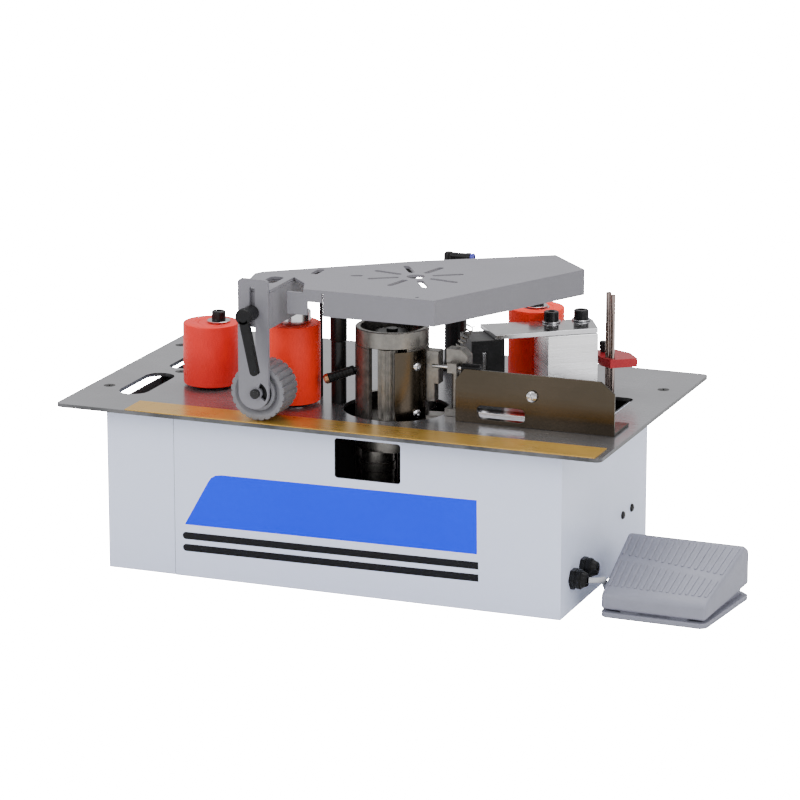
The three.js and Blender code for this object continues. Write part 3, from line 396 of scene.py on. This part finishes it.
def carve(mesh, cutters):
    """The mesh less the cutter meshes, as one new mesh."""
    target = bpy.data.objects.new("carve_target", mesh)
    bpy.context.scene.collection.objects.link(target)
    tools = []
    for cutter in cutters:
        tool = bpy.data.objects.new("carve_tool", cutter)
        bpy.context.scene.collection.objects.link(tool)
        tools.append(tool)
        cut = target.modifiers.new("cut", "BOOLEAN")
        cut.object = tool
        cut.operation = "DIFFERENCE"
        cut.solver = "EXACT"
    depsgraph = bpy.context.evaluated_depsgraph_get()
    result = bpy.data.meshes.new_from_object(target.evaluated_get(depsgraph))
    for item in [target, *tools]:
        bpy.data.objects.remove(item)
    for polygon in result.polygons:
        polygon.use_smooth = True
    result.set_sharp_from_angle(angle=math.radians(35))
    return result


def applied(mesh, dress):
    """The mesh with the modifiers that dress adds worked into it."""
    piece = bpy.data.objects.new("dressed", mesh)
    bpy.context.scene.collection.objects.link(piece)
    dress(piece)
    depsgraph = bpy.context.evaluated_depsgraph_get()
    result = bpy.data.meshes.new_from_object(piece.evaluated_get(depsgraph))
    bpy.data.objects.remove(piece)
    return result


def joined(name, *meshes):
    """Several meshes as one."""
    bm = bmesh.new()
    for mesh in meshes:
        bm.from_mesh(mesh)
    result = bpy.data.meshes.new(name)
    bm.to_mesh(result)
    bm.free()
    return result


def facing():
    """Turns local (x, y, z) to (x, z) in the upright plane, with local +Z towards the front."""
    return Matrix(((1, 0, 0, 0), (0, 0, -1, 0), (0, 1, 0, 0), (0, 0, 0, 1)))


# ------------------------------------------------------------------ rollers
def roller(name, body, node, material):
    """Silicone sleeve of a roller; returns its centre and its top in mm."""
    low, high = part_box(node)
    x, y = middle((low, high))
    bottom, top, radius = low.z / MM, high.z / MM, 30
    profile = [
        (14.3, bottom), (radius - 1.4, bottom), (radius - 0.5, bottom + 0.4), (radius, bottom + 1.4),
        (radius, top - 1.4), (radius - 0.5, top - 0.4), (radius - 1.4, top), (18.4, top), (17.8, top - 0.5),
        (14.3, top - 0.5), (14.3, bottom),
    ]
    finished(name, lathe_mesh(name, profile, (x, y, 0), segments=128), material, body, [node])
    return x, y, top


def cap_screw(name, at, bottom, replaces=(), body=BODY, washer=12.3, head=8, height=10, turn=20):
    """Socket-head cap screw with a hexagon socket, on a bright washer of its own."""
    x, y = at
    rim = bottom + 1.5
    top = rim + height
    ring = lathe_mesh(f"{name}_washer", [
        (head - 3, bottom), (washer - 0.3, bottom), (washer, bottom + 0.3), (washer, rim - 0.35),
        (washer - 0.3, rim - 0.05), (head - 3, rim - 0.05), (head - 3, bottom)], (x, y, 0), segments=72)
    finished(f"{name}_washer", ring, "bright_steel", body)
    profile = [
        (0, rim), (head - 0.2, rim), (head, rim + 0.5), (head, top - 1), (head - 0.9, top), (0, top)]
    socket = arc(0, 0, head * 0.52, turn, turn + 300, 5)
    here = Matrix.Translation((x * MM, y * MM, 0))
    cutter = prism_mesh("socket", socket, top - height * 0.5, top + 1, here)
    knurls = 36
    teeth = [
        prism_mesh("knurl", [(head - 0.25, -0.25), (head + 1, -0.25), (head + 1, 0.25), (head - 0.25, 0.25)],
                   rim + 1, top - 1.4, here @ Matrix.Rotation(2 * math.pi * i / knurls, 4, "Z"))
        for i in range(knurls)]
    mesh = carve(lathe_mesh(name, profile, (x, y, 0), segments=72), [cutter, joined("teeth", *teeth)])
    finished(name, mesh, "black_steel", body, replaces)


def make_rollers():
    # Painted shade: the outfeed sleeve and its stem lid take the darker copy of the silicone.
    x, y, top = roller(
        "outfeed_roller_sleeve", "outfeed_roller_body", "outfeed_roller", "silicone_deep")
    stem = [(0, 181), (21, 181), (21, 182.8), (13.9, 182.8), (13.9, top - 2), (0, top - 2)]
    mesh = lathe_mesh("outfeed_stem", stem, (x, y, 0))
    finished("outfeed_stem", mesh, "black_steel", replaces=["outfeed_spindle"])
    lid = [(0, top - 1.9), (13.9, top - 1.9), (13.9, top - 0.8), (13.5, top - 0.4), (0, top - 0.4)]
    mesh = lathe_mesh("outfeed_stem_lid", lid, (x, y, 0))
    finished("outfeed_stem_lid", mesh, "silicone_deep")
    cap_screw("outfeed_cap_screw", (x + 7.4, y + 3.1), top + 0.5, ["outfeed_screw"], head=7.4)

    x, y, top = roller("press_roller_sleeve", "press_roller_body", "press_roller", "silicone")
    hub_foot = top + 0.3
    stem = [(0, 181), (21, 181), (21, 182.8), (13.9, 182.8), (13.9, top + 0.3), (0, top + 0.3)]
    shaft = lathe_mesh("press_shaft", stem, (x, y, 0))
    hub = lathe_mesh("press_hub", [
        (0, hub_foot), (17.5, hub_foot), (17.9, hub_foot + 0.4), (17.9, 277.4), (17, 278.3), (5, 278.3),
        (4.4, 277.8), (0, 277.8)], (x + 1.3, y + 3.1, 0))
    mesh = joined("press_spindle_hub", shaft, hub)
    finished("press_spindle_hub", mesh, "bright_steel", replaces=["press_spindle"])

    x, y, top = roller("feed_roller_sleeve", "feed_roller_body", "feed_roller", "silicone")
    shaft = lathe_mesh("feed_shaft", [
        (0, 144.5), (9.3, 144.5), (9.3, 147), (7, 147), (7, 157), (9.3, 157), (9.3, 159), (6.5, 159),
        (6.5, 180.5), (12, 180.5), (12, 183), (13.9, 183), (13.9, top - 0.2), (0, top - 0.2)], (x, y, 0))
    finished("feed_spindle_shaft", shaft, "bright_steel", "feed_roller_body", ["feed_spindle"])
    cap_screw("feed_cap_screw", (x, y), top + 0.3, body="feed_roller_body")


# ------------------------------------------------------------------ posts, rods and bridge screws
def make_posts():
    x, y = middle(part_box("cover_post_front"))
    profile = [(0, 180.3), (8, 180.3), (8, 246.2), (8.6, 247), (9, 247.6), (9, 316.5), (0, 316.5)]
    mesh = lathe_mesh("front_post", profile, (x, y, 0))
    finished("front_post", mesh, "black_steel", replaces=["cover_post_front"])
    x, y = middle(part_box("cover_post_rear"))
    profile = [(0, 180.3), (8, 180.3), (8, 316.5), (0, 316.5)]
    mesh = lathe_mesh("rear_post", profile, (x, y, 0))
    finished("rear_post", mesh, "black_steel", replaces=["cover_post_rear"])
    for side, radius in (("left", 3), ("right", 2.5)):
        low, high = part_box(f"guide_rod_{side}")
        x, y = middle((low, high))
        end = high.z / MM
        profile = [
            (0, 180.3), (radius, 180.3), (radius, end - 0.9), (radius - 0.7, end - 0.1), (0, end - 0.1)]
        mesh = lathe_mesh(f"rod_{side}", profile, (x, y, 0), segments=48)
        # The rods take the red-brown steel with the painted reflection.
        finished(f"rod_{side}", mesh, "rod_steel", replaces=[f"guide_rod_{side}"])
    for side, turn in (("left", 10), ("right", 35)):
        x, y = middle(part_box(f"bridge_screw_{side}"))
        cap_screw(f"bridge_cap_screw_{side}", (x, y), 250.3, [f"bridge_screw_{side}"], washer=10, turn=turn)


def make_table_screws():
    """Countersunk screws with cross recesses, just below the table's surface."""
    for i, (x, y) in enumerate([(-279.2, -74.8), (-282.8, 115.5), (-233.3, 7.2), (274.3, 122.6)]):
        profile = [(0, 176.4), (3, 176.4), (6.1, 179.4), (6.1, 179.7), (5.7, 179.9), (0, 179.9)]
        place = Matrix.Translation((x * MM, y * MM, 0)) @ Matrix.Rotation(0.5 + i, 4, "Z")
        cross = [
            prism_mesh("recess", [(-3.2, -0.55), (3.2, -0.55), (3.2, 0.55), (-3.2, 0.55)], 178.4, 181,
                       place @ Matrix.Rotation(quarter * math.pi / 2, 4, "Z"))
            for quarter in (0, 1)]
        mesh = carve(lathe_mesh("table_screw", profile, (x, y, 0), segments=48), cross)
        finished(f"table_screw_{i + 1}", mesh, "black_steel")


# ------------------------------------------------------------------ glue head
HEAD_X, HEAD_Y = 34, -50
GLUE_ROLLER_X, GLUE_ROLLER_Y = HEAD_X + 5, HEAD_Y - 25
HEAD_FRAME = Matrix.Translation((HEAD_X * MM, HEAD_Y * MM, 0))


def make_glue_head():
    make_casting()
    make_glue_roller()
    make_scraper()
    make_valve()


def make_casting():
    """Cup with its mouth, rear window and wells, the pot and heater below, lugs and bracket."""
    x, y, here = HEAD_X, HEAD_Y, HEAD_FRAME
    outer, inner = 38.5, 33
    shell = lathe_mesh("shell", [
        (0, 141), (outer, 141), (outer, 249), (outer - 0.8, 249.6), (outer - 0.8, 250.4), (outer, 251),
        (outer, 267.2), (outer - 0.8, 268), (inner + 0.6, 268), (inner, 267.4), (inner, 172), (0, 172)],
        (x, y, 0), segments=144)
    mouth = prism_mesh(
        "mouth", arc(0, 0, 10, -107.5, -45, 6) + arc(0, 0, 50, -45, -107.5, 6), 174, 250.5, here)
    window = prism_mesh(
        "window", arc(0, 0, 20, 100, 160, 6) + arc(0, 0, 50, 160, 100, 6), 190, 246, here)
    below = (GLUE_ROLLER_X, GLUE_ROLLER_Y, 0)
    pocket = lathe_mesh("pocket", [(0, 246), (11, 246), (11, 264), (0, 264)], below, segments=64)
    well = lathe_mesh("well", [(0, 140), (6.6, 140), (6.6, 190), (0, 190)], (x, y, 0), segments=32)
    foot = lathe_mesh("foot", [(0, 160), (4.4, 160), (4.4, 190), (0, 190)], below, segments=32)
    body = carve(shell, [mouth, window, pocket, well, foot])
    pot = lathe_mesh("pot", [
        (7, 96), (14.5, 96), (17, 98.5), (17, 120), (18, 121), (18, 129), (17, 130), (17, 142), (7, 142),
        (7, 96)], (x - 6, y - 25, 0))
    heater = lathe_mesh(
        "heater", [(0, 104), (6.4, 104), (7, 104.6), (7, 142), (0, 142)], (x - 31, y - 8, 0))
    lugs = []
    for angle in (10, 75, 140):
        turned = here @ Matrix.Rotation(math.radians(angle), 4, "Z")
        lugs.append(prism_mesh("lug", rounded(34, 68, -9, 9, 3, 3), 167, 175.7, turned))
    bracket = prism_mesh("bracket", rounded(33.5, 54, -6, 8, 1.5, 3), 211, 246, here)
    tab = prism_mesh("tab", rounded(36.5, 49.5, -6, 6, 1, 3), 192, 212, here)
    finished("glue_head_body", joined("glue_head_body", body, pot, heater, *lugs), "cast_metal",
             replaces=["glue_head_casting"])
    piece = finished("glue_head_bracket", joined("glue_head_bracket", bracket, tab), "cast_metal")
    soften(piece, 0.6)


def make_glue_roller():
    """Glue roller with fine ridges along it, seen through the head's opening, and its spindle."""
    x, y = GLUE_ROLLER_X, GLUE_ROLLER_Y
    ridges = 40
    outline = []
    for i in range(ridges):
        angle = 2 * math.pi * i / ridges
        for radius, share in ((10.0, 0), (10.5, 0.25), (10.5, 0.6), (10.0, 0.85)):
            a = angle + share * 2 * math.pi / ridges
            outline.append((x + radius * math.cos(a), y + radius * math.sin(a)))
    drum = prism_mesh("drum", outline, 174.5, 249)
    shaft = lathe_mesh(
        "shaft", [(0, 163), (4, 163), (4, 176), (3.5, 176), (3.5, 263), (0, 263)], (x, y, 0), segments=48)
    gear = gear_mesh(12, (x, y), math.atan2(25, -5) + math.pi / 12 + math.atan2(-25, 5) * 22 / 12)
    finished(
        "glue_roller_drum", joined("glue_roller_drum", drum, shaft, gear), "cast_metal", "glue_roller_body",
        ["glue_roller"])
    spindle = lathe_mesh("spindle", [
        (0, 80), (17, 80), (17, 83), (14, 83), (14, 93), (17, 93), (17, 95.3), (6, 95.3), (6, 173), (12, 173),
        (12, 250.5), (6, 250.5), (6, 264.6), (5.6, 265), (0, 265)], (HEAD_X, HEAD_Y, 0))
    mesh = joined("glue_spindle_drum", spindle, gear_mesh(22, (HEAD_X, HEAD_Y), 0))
    finished("glue_spindle_drum", mesh, "black_steel", "glue_spindle_body", ["glue_spindle"])


def make_scraper():
    """Curved scraper plate and its two button screws."""
    plate = prism_mesh(
        "scraper", arc(0, 0, 38.8, -65, -11, 24) + arc(0, 0, 40.8, -11, -65, 24), 175, 248, HEAD_FRAME)
    scraper = finished("scraper_plate", plate, "brown_stainless", replaces=["glue_scraper"])
    soften(scraper, 0.3)
    direction = Vector((math.cos(math.radians(-31)), math.sin(math.radians(-31)), 0))
    for name, height in (("upper", 231.8), ("lower", 182.1)):
        at = Vector((HEAD_X, HEAD_Y, height)) + direction * 41.1
        mesh = lathe_mesh(f"scraper_button_{name}", [
            (0, -4), (2.2, -4), (2.2, 0), (4.7, 0), (4.7, 0.8), (4.2, 2), (2.9, 2.8), (1.6, 2.9),
            (1.6, 1.4), (0, 1.4)], at, direction, 48)
        finished(f"scraper_button_{name}", mesh, "bright_steel", replaces=[f"scraper_screw_{name}"])


def make_valve():
    """Ribbed black knob with a copper end."""
    axis = Vector((-31, -6, -12)).normalized()
    knob = [(0, -4.8), (2.8, -4.8), (2.8, 0.4), (4.6, 0.4), (5, 0.9)]
    for i in range(6):
        z = 4 + i * 3.6
        knob += [(5, z), (4.5, z + 0.4), (4.5, z + 1.2), (5, z + 1.6)]
    knob += [(5, 27.6), (4.6, 28), (0, 28)]
    mesh = lathe_mesh("valve_knob", knob, (0, -70, 222), axis, 64)
    finished("valve_knob", mesh, "black_plastic", "glue_valve", ["glue_valve_knob"])
    cap = [(0, 28.3), (5.2, 28.3), (5.4, 28.5), (5.4, 32.4), (4.3, 33.7), (2, 33.7), (1.6, 33), (0, 33)]
    mesh = lathe_mesh("valve_cap", cap, (0, -70, 222), axis, 64)
    finished("valve_cap", mesh, "copper", "glue_valve", ["glue_valve_cap"])


def gear_mesh(teeth, at, phase):
    """Spur gear under the top of the head, its first tooth turned by phase in radians."""
    module = 1.5
    pitch = teeth * module / 2
    tip, root = pitch + 0.75 * module, pitch - 1.05 * module
    step = 2 * math.pi / teeth
    outline = []
    for i in range(teeth):
        for radius, share in ((root, -0.33), (tip, -0.12), (tip, 0.12), (root, 0.33)):
            angle = i * step + phase + share * step
            outline.append((at[0] + radius * math.cos(angle), at[1] + radius * math.sin(angle)))
    return prism_mesh("gear", outline, 252.5, 262)


# ------------------------------------------------------------------ pressure unit
WHEEL_X, WHEEL_Z = -73, 211
HUB_AT = (WHEEL_X, 0, WHEEL_Z)
STUD_X, STUD_Z = -76, 296


def make_press_unit():
    make_wheel()
    make_slotted_plate()
    make_clamp_lever()


def make_wheel():
    """Grooved wheel with a dished front and a black bush, and the screw it turns on."""
    radius = 29.5
    front, back = 154.7, 119.0
    outline = []
    grooves = 24
    for i in range(grooves):
        base = 360 * i / grooves
        for reach, share in ((radius - 1.4, 0.0), (radius - 1.4, 0.1), (radius - 0.3, 0.2), (radius, 0.28),
                             (radius, 0.5), (radius, 0.82), (radius - 0.3, 0.9)):
            angle = math.radians(base + share * 360 / grooves)
            outline.append((WHEEL_X + reach * math.cos(angle), WHEEL_Z + reach * math.sin(angle)))
    wheel = prism_mesh("wheel", outline, back, front, facing())
    bore = lathe_mesh("bore", [(0, -160), (4.2, -160), (4.2, -110), (0, -110)], HUB_AT, (0, 1, 0), 48)
    dish = lathe_mesh("dish", [
        (19, -156), (26.5, -156), (19.4, -150.5), (19, -150.5), (19, -156)], HUB_AT, (0, 1, 0), 96)
    bush = [(4.3, -154.6), (15.4, -154.6), (15.4, -151), (4.3, -151), (4.3, -154.6)]
    recess = [(0, -156), (15.6, -156), (15.6, -150.8), (0, -150.8)]
    seat = lathe_mesh("seat", recess, HUB_AT, (0, 1, 0), 72)
    mesh = lathe_mesh("wheel_bush", bush, HUB_AT, (0, 1, 0), 72)
    finished("wheel_bush", mesh, "black_plastic", "press_wheel_body")
    mesh = carve(wheel, [bore, dish, seat])
    piece = finished("press_wheel_tyre", mesh, "wheel_plastic", "press_wheel_body", ["press_wheel"])
    soften(piece, 0.5)
    axle = lathe_mesh("axle", [
        (0, -163.6), (2.4, -163.6), (2.4, -161.9), (2.5, -163.6), (4.4, -163.6), (5, -163), (5, -159.6),
        (3.9, -159.6), (3.9, -118.7), (7, -118.7), (7, -114.6), (6.5, -114.1), (0, -114.1)],
        HUB_AT, (0, 1, 0), 64)
    finished("wheel_axle_screw", axle, "black_steel", "wheel_slide", ["wheel_axle"])


def make_slotted_plate():
    """Slotted plate with its round foot and kidney slot."""
    x, half, top = -75.3, 16.75, 330.5
    outline = (arc(x, WHEEL_Z, half, 180, 360, 40) + arc(x + half - 5, top - 5, 5, 0, 90, 8)
               + arc(x - half + 5, top - 5, 5, 90, 180, 8))
    plate = prism_mesh("plate", outline, 155.3, 159.3, facing())
    slot_outline = arc(STUD_X, 258.9, 3.1, 180, 360, 10) + arc(STUD_X, 319.7, 3.1, 0, 180, 10)
    slot = prism_mesh("slot", slot_outline, 150, 165, facing())
    kidney_outline = (arc(WHEEL_X, WHEEL_Z, 12.6, -38, 65, 20)
                      + arc(WHEEL_X, WHEEL_Z, 6.6, 65, -38, 20))
    kidney = prism_mesh("kidney", kidney_outline, 150, 165, facing())
    hole = lathe_mesh("hole", [(0, -165), (4.1, -165), (4.1, -150), (0, -150)], HUB_AT, (0, 1, 0), 32)
    mesh = carve(plate, [slot, kidney, hole])
    piece = finished("slotted_plate", mesh, "cover_paint", "wheel_slide", ["wheel_slide_plate"])
    soften(piece, 0.45)


def make_clamp_lever():
    """Turned hub and a tapered arm, with the stud's end in its middle."""
    hub = lathe_mesh("hub", [
        (0, -178), (3, -178), (3, -159.6), (7.4, -159.6), (7.9, -160.2), (7.9, -176), (8.6, -177),
        (8.6, -182.8), (7.8, -184), (5, -184), (4.6, -183.4), (3.4, -183.4), (3.2, -182.8), (0, -182.8)],
        (STUD_X, 0, STUD_Z), (0, 1, 0), 64)
    outline = arc(STUD_X, STUD_Z, 5.2, -14, 188, 24) + arc(-64.4, 240.4, 4.7, 188, 346, 12)
    arm = prism_mesh("arm", outline, 177.6, 184, facing())
    mesh = joined("lever_arm", hub, arm)
    piece = finished("lever_arm", mesh, "black_plastic", "clamp_lever_body", ["clamp_lever"])
    soften(piece, 0.8, 3)


# ------------------------------------------------------------------ fence, feed and tape guide
def make_fence_screw():
    low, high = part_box("fence_screw")
    x, z = (low.x + high.x) / 2 / MM, (low.z + high.z) / 2 / MM
    front = -78.3
    pan = lathe_mesh("pan", [
        (0, front - 3.2), (3, front - 3.2), (5.4, front - 2.4), (6.2, front - 1.2), (6.2, front),
        (2.9, front), (2.9, front + 14), (0, front + 14)], (x, 0, z), (0, 1, 0), 64)
    recess = [
        prism_mesh("recess", [(-3.4, -0.6), (3.4, -0.6), (3.4, 0.6), (-3.4, 0.6)], 79.6, 84,
                   Matrix.Translation((x * MM, 0, z * MM)) @ facing() @ Matrix.Rotation(turn, 4, "Z"))
        for turn in (0.3, 0.3 + math.pi / 2)]
    finished("fence_pan_screw", carve(pan, recess), "bright_steel", replaces=["fence_screw"])


def make_tension_knob():
    low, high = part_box("tape_tension_knob")
    y, z = (low.y + high.y) / 2 / MM, (low.z + high.z) / 2 / MM
    rod = [(0, 86), (1.7, 86), (1.9, 86.3), (1.9, 118), (0, 118)]
    mesh = lathe_mesh("tension_rod", rod, (0, y, z), (1, 0, 0), 40)
    finished("tension_rod", mesh, "bright_steel", "tape_tension_knob_body")
    profile = [(0, 118.1), (3, 118.1), (3, 119.2), (5.2, 119.2), (5.7, 119.8)]
    for i in range(9):
        x = 121 + i * 1.8
        profile += [(5.7, x), (5.3, x + 0.3), (5.3, x + 0.7), (5.7, x + 1)]
    profile += [(5.7, 138.2), (5, 138.9), (0, 138.9)]
    mesh = lathe_mesh("tension_knob", profile, (0, y, z), (1, 0, 0), 48)
    finished("tension_knob", mesh, "black_plastic", "tape_tension_knob_body", ["tape_tension_knob"])


def make_gauge_screw():
    x, y = middle(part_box("gauge_thumb_screw"))
    teeth = 14
    outline = []
    for i in range(teeth):
        for radius, share in ((4.2, 0), (4.6, 0.2), (4.6, 0.6), (4.2, 0.8)):
            angle = (i + share) * 2 * math.pi / teeth
            outline.append((x + radius * math.cos(angle), y + radius * math.sin(angle)))
    head = prism_mesh("head", outline, 223, 231.6)
    stem = lathe_mesh(
        "stem", [(0, 213), (1.5, 213), (1.5, 220.3), (3.4, 220.3), (3.4, 223.2), (0, 223.2)],
        (x, y, 0), segments=40)
    mesh = joined("gauge_knob", head, stem)
    piece = finished(
        "gauge_knob", mesh, "black_plastic", "gauge_thumb_screw_body", ["gauge_thumb_screw"])
    soften(piece, 0.3)


def make_air_fitting():
    x, y = 38, 126
    tube = lathe_mesh("tube", [
        (0, 180.3), (12.5, 180.3), (12.5, 190), (12, 190.5), (12, 275), (12.5, 275.5), (12.5, 284.4),
        (11.8, 285), (0, 285)], (x, y, 0))
    foot = prism_mesh("foot", rounded(x - 15, x + 15, y - 15, y + 15, 2, 4), 180.3, 186)
    elbow = lathe_mesh("elbow", [
        (0, 284.8), (6.6, 284.8), (6.6, 290), (5.5, 290.4), (5.5, 306.5), (4, 308.8), (0, 309)],
        (x - 8, y, 0))
    arm = lathe_mesh("arm", [
        (0, -10), (3.6, -10), (4.4, -9), (4.4, 12), (5, 12.4), (5, 16.6), (4.6, 17), (0, 17)],
        (x, y, 304.5), (1, 0, 0), 64)
    mesh = joined("air_valve", tube, foot, elbow, arm)
    finished("air_valve", mesh, "black_plastic", replaces=["air_cylinder"])
    ring = lathe_mesh("ring", [
        (2.4, 17.3), (4.2, 17.3), (4.2, 18.6), (4.8, 19), (4.8, 20.6), (4.3, 21), (2.4, 21), (2.4, 17.3)],
        (x, y, 304.5), (1, 0, 0), 64)
    finished("air_release_ring", ring, "blue_plastic", replaces=["air_collar"])


# ------------------------------------------------------------------ cabinet
def make_label():
    """Blank blue panel with a white edge, and two stripes below it, as thin film on the front."""
    tilt = math.radians(0.6)
    place = Matrix.Translation((0, CABINET_FRONT, 0)) @ Matrix.Rotation(-tilt, 4, "Y") @ facing()
    left, right, low, high = -165.6, 163.8, 57.2, 116.6
    slanted = [(left, low), (right, low), (right, high), (left + 46, high)]
    slanted += [(left + 38, high - 1.2), (left + 32.5, high - 4.5), (left + 29, high - 9.5)]
    border = prism_mesh("label_border", slanted, 0.05, 0.25, place)
    finished("label_border", border, "label_white")
    inner = [
        (left + 2.8, low + 1.2), (right - 1.2, low + 1.2), (right - 1.2, high - 1.2),
        (left + 46, high - 1.2)]
    inner += [(left + 39, high - 2.2), (left + 34, high - 5.2), (left + 30.6, high - 9.8)]
    panel = prism_mesh("label_panel", inner, 0.25, 0.4, place)
    finished("label_panel", panel, "label_blue")
    for i, bottom in enumerate((42.4, 29.4)):
        outline = arc(left + 3.8, bottom + 3.8, 3.8, 90, 270, 12) + [(right, bottom), (right, bottom + 7.6)]
        mesh = prism_mesh("stripe", outline, 0.05, 0.3, place)
        finished(f"label_stripe_{i + 1}", mesh, "label_black")


def make_cabinet_screws():
    for i, y in enumerate((57.8, 87.7)):
        at = (CABINET_RIGHT / MM, y, 57)
        dome = lathe_mesh("dome", [
            (0, -3), (2.9, -3), (2.9, 0.1), (4.4, 0.1), (4.4, 0.9), (3.6, 2), (2, 2.6), (1.2, 2.6),
            (1.2, 1.4), (0, 1.4)], at, (1, 0, 0), 48)
        finished(f"side_screw_{i + 1}", dome, "black_steel")


def make_glands():
    for side, y, z in (("front", -106, 35), ("rear", -74, 38)):
        at = (CABINET_RIGHT / MM, y, z)
        mouth = 3.3 if side == "front" else 2.6
        nut = lathe_mesh("nut", [
            (0, 0.3), (9.6, 0.3), (9.6, 7), (9.2, 7.4), (9.2, 11.6), (8.4, 13), (6.6, 17), (5.6, 17.5),
            (mouth, 17.5), (mouth, 9), (0, 9)], at, (1, 0, 0), 64)
        place = frame_of((1, 0, 0), at)
        hexagon = prism_mesh("hexagon", arc(0, 0, 11.4, 30, 330, 5), 0.4, 5.2, place)
        collar = prism_mesh("collar", arc(0, 0, 10.4, 15, 345, 11), 6.6, 11, place)
        mesh = joined("gland", nut, hexagon, collar)
        piece = finished(f"gland_{side}", mesh, "black_plastic", replaces=[f"cord_gland_{side}"])
        soften(piece, 0.35)


# ------------------------------------------------------------------ pedal
def make_pedal():
    """Rounded treadle shell, and its ribs in two sets with a smooth band slanting between them."""
    front, spread, depth = 112, 9, 122
    place = Matrix.Translation((285.2 * MM, -114 * MM, 0)) @ Matrix.Rotation(math.radians(-1), 4, "Z")
    across = place @ Matrix(((0, 0, 1, 0), (1, 0, 0, 0), (0, 1, 0, 0), (0, 0, 0, 1)))

    def within(section, side):
        body = prism_mesh("body", section, -spread - 1, front + spread + 1, across)
        left = [
            (-40, -5), (side, -5), (side, 0), (side - spread, depth), (side - spread, depth + 5),
            (-40, depth + 5)]
        right = [(front + 40, y) if x == -40 else (front - x, y) for x, y in left]
        sides = [prism_mesh("side", plan, -5, 90, place) for plan in (left, right)]
        return carve(body, sides)

    outer = within([
        (1, 8), (depth - 3, 15), (depth - 3, 52), (depth - 14, 59), (depth * 0.5, 44.3), (9, 28),
        (1, 23)], 0.5)
    hollow = within([
        (4, 5), (depth - 6, 5), (depth - 6, 50), (depth - 15, 55.3), (depth * 0.5, 40.8), (10, 24.7),
        (4, 20.5)], 3.5)
    rounded_outer = applied(outer, lambda piece: soften(piece, 3.6, 5))
    mesh = carve(rounded_outer, [hollow])
    finished("pedal_shell", mesh, "pedal_plastic", "pedal_treadle_body", ["pedal_treadle"])

    slope = math.atan2(59 - 28, depth - 14 - 9)
    deck = place @ Matrix.Translation((0, 9 * MM, 28 * MM)) @ Matrix.Rotation(slope, 4, "X")
    ribs = []
    count = 16
    for i in range(count):
        share = i / (count - 1)
        middle = 58 - 16 * share
        for start, end in ((5, middle - 5), (middle + 5, 98)):
            xs = [5 + 102 * share + (2 * share - 1) * spread * y / depth for y in (start, end)]
            half = 1.6
            outline = arc(xs[0], start + half, half, 180, 360, 6) + arc(xs[1], end - half, half, 0, 180, 6)
            ribs.append(prism_mesh("rib", outline, -0.5, 1.1, deck))
    piece = finished("pedal_ribs", joined("pedal_ribs", *ribs), "pedal_plastic", "pedal_treadle_body")
    soften(piece, 0.5)


# ------------------------------------------------------------------ studio
def seen_only(nodes, links, seen, otherwise):
    """A strength that is higher where the backdrop is looked at than where it gives light."""
    path = nodes.new("ShaderNodeLightPath")
    switch = nodes.new("ShaderNodeMapRange")
    switch.inputs["To Min"].default_value = otherwise
    switch.inputs["To Max"].default_value = seen
    links.new(path.outputs["Is Camera Ray"], switch.inputs["Value"])
    return switch.outputs["Result"]


def make_studio():
    mesh = bpy.data.meshes.new("floor")
    bm = bmesh.new()
    bmesh.ops.create_grid(bm, x_segments=1, y_segments=1, size=8)
    bm.to_mesh(mesh)
    bm.free()
    floor = bpy.data.objects.new("floor", mesh)
    bpy.context.scene.collection.objects.link(floor)
    material = bpy.data.materials.new("floor")
    material.use_nodes = True
    nodes, links = material.node_tree.nodes, material.node_tree.links
    nodes.remove(nodes["Principled BSDF"])
    diffuse = nodes.new("ShaderNodeBsdfDiffuse")
    diffuse.inputs["Color"].default_value = (0.9, 0.9, 0.9, 1)
    glow = nodes.new("ShaderNodeEmission")
    blend = nodes.new("ShaderNodeAddShader")
    links.new(diffuse.outputs["BSDF"], blend.inputs[0])
    links.new(glow.outputs["Emission"], blend.inputs[1])
    links.new(blend.outputs["Shader"], nodes["Material Output"].inputs["Surface"])
    links.new(seen_only(nodes, links, 30.0, 0.0), glow.inputs["Strength"])
    mesh.materials.append(material)
    world = bpy.data.worlds.new("studio")
    world.use_nodes = True
    nodes, links = world.node_tree.nodes, world.node_tree.links
    nodes["Background"].inputs["Color"].default_value = (1, 1, 1, 1)
    links.new(seen_only(nodes, links, 30.0, 0.75), nodes["Background"].inputs["Strength"])
    bpy.context.scene.world = world
    lights = (
        ("key", (-1.6, -2.6, 2.2), 2.0, 58), ("fill", (2.8, -1.6, 1.6), 1.8, 44),
        ("top", (0.2, 0.7, 2.8), 2.4, 84))
    for name, place, size, power in lights:
        data = bpy.data.lights.new(name, "AREA")
        data.size = size
        data.energy = power
        lamp = bpy.data.objects.new(name, data)
        lamp.location = place
        aim = Vector((0.05, 0, 0.15)) - Vector(place)
        lamp.rotation_euler = aim.to_track_quat("-Z", "Y").to_euler()
        bpy.context.scene.collection.objects.link(lamp)


EASED = {
    "cabinet_wrap": 1.0, "left_end_cap": 1.0, "table_plate": 0.5, "wear_strip": 0.2, "top_cover": 0.8,
    "arm_channel": 0.8, "feed_block": 0.7, "bridge_plate": 0.5, "fence_plate": 0.4, "pedal_treadle": 1.6,
    "pedal_base": 1.2, "tape_guide": 0.5, "tape_gauge": 0.7,
}

make_camera()
CORD_PIECE = make_cord()
MATERIALS = make_materials()
CORD_PIECE.data.materials.append(MATERIALS["cord_plastic"])
dress_cad()
make_rollers()
make_posts()
make_table_screws()
make_glue_head()
make_press_unit()
make_fence_screw()
make_tension_knob()
make_gauge_screw()
make_air_fitting()
make_label()
make_cabinet_screws()
make_glands()
make_pedal()
make_studio()
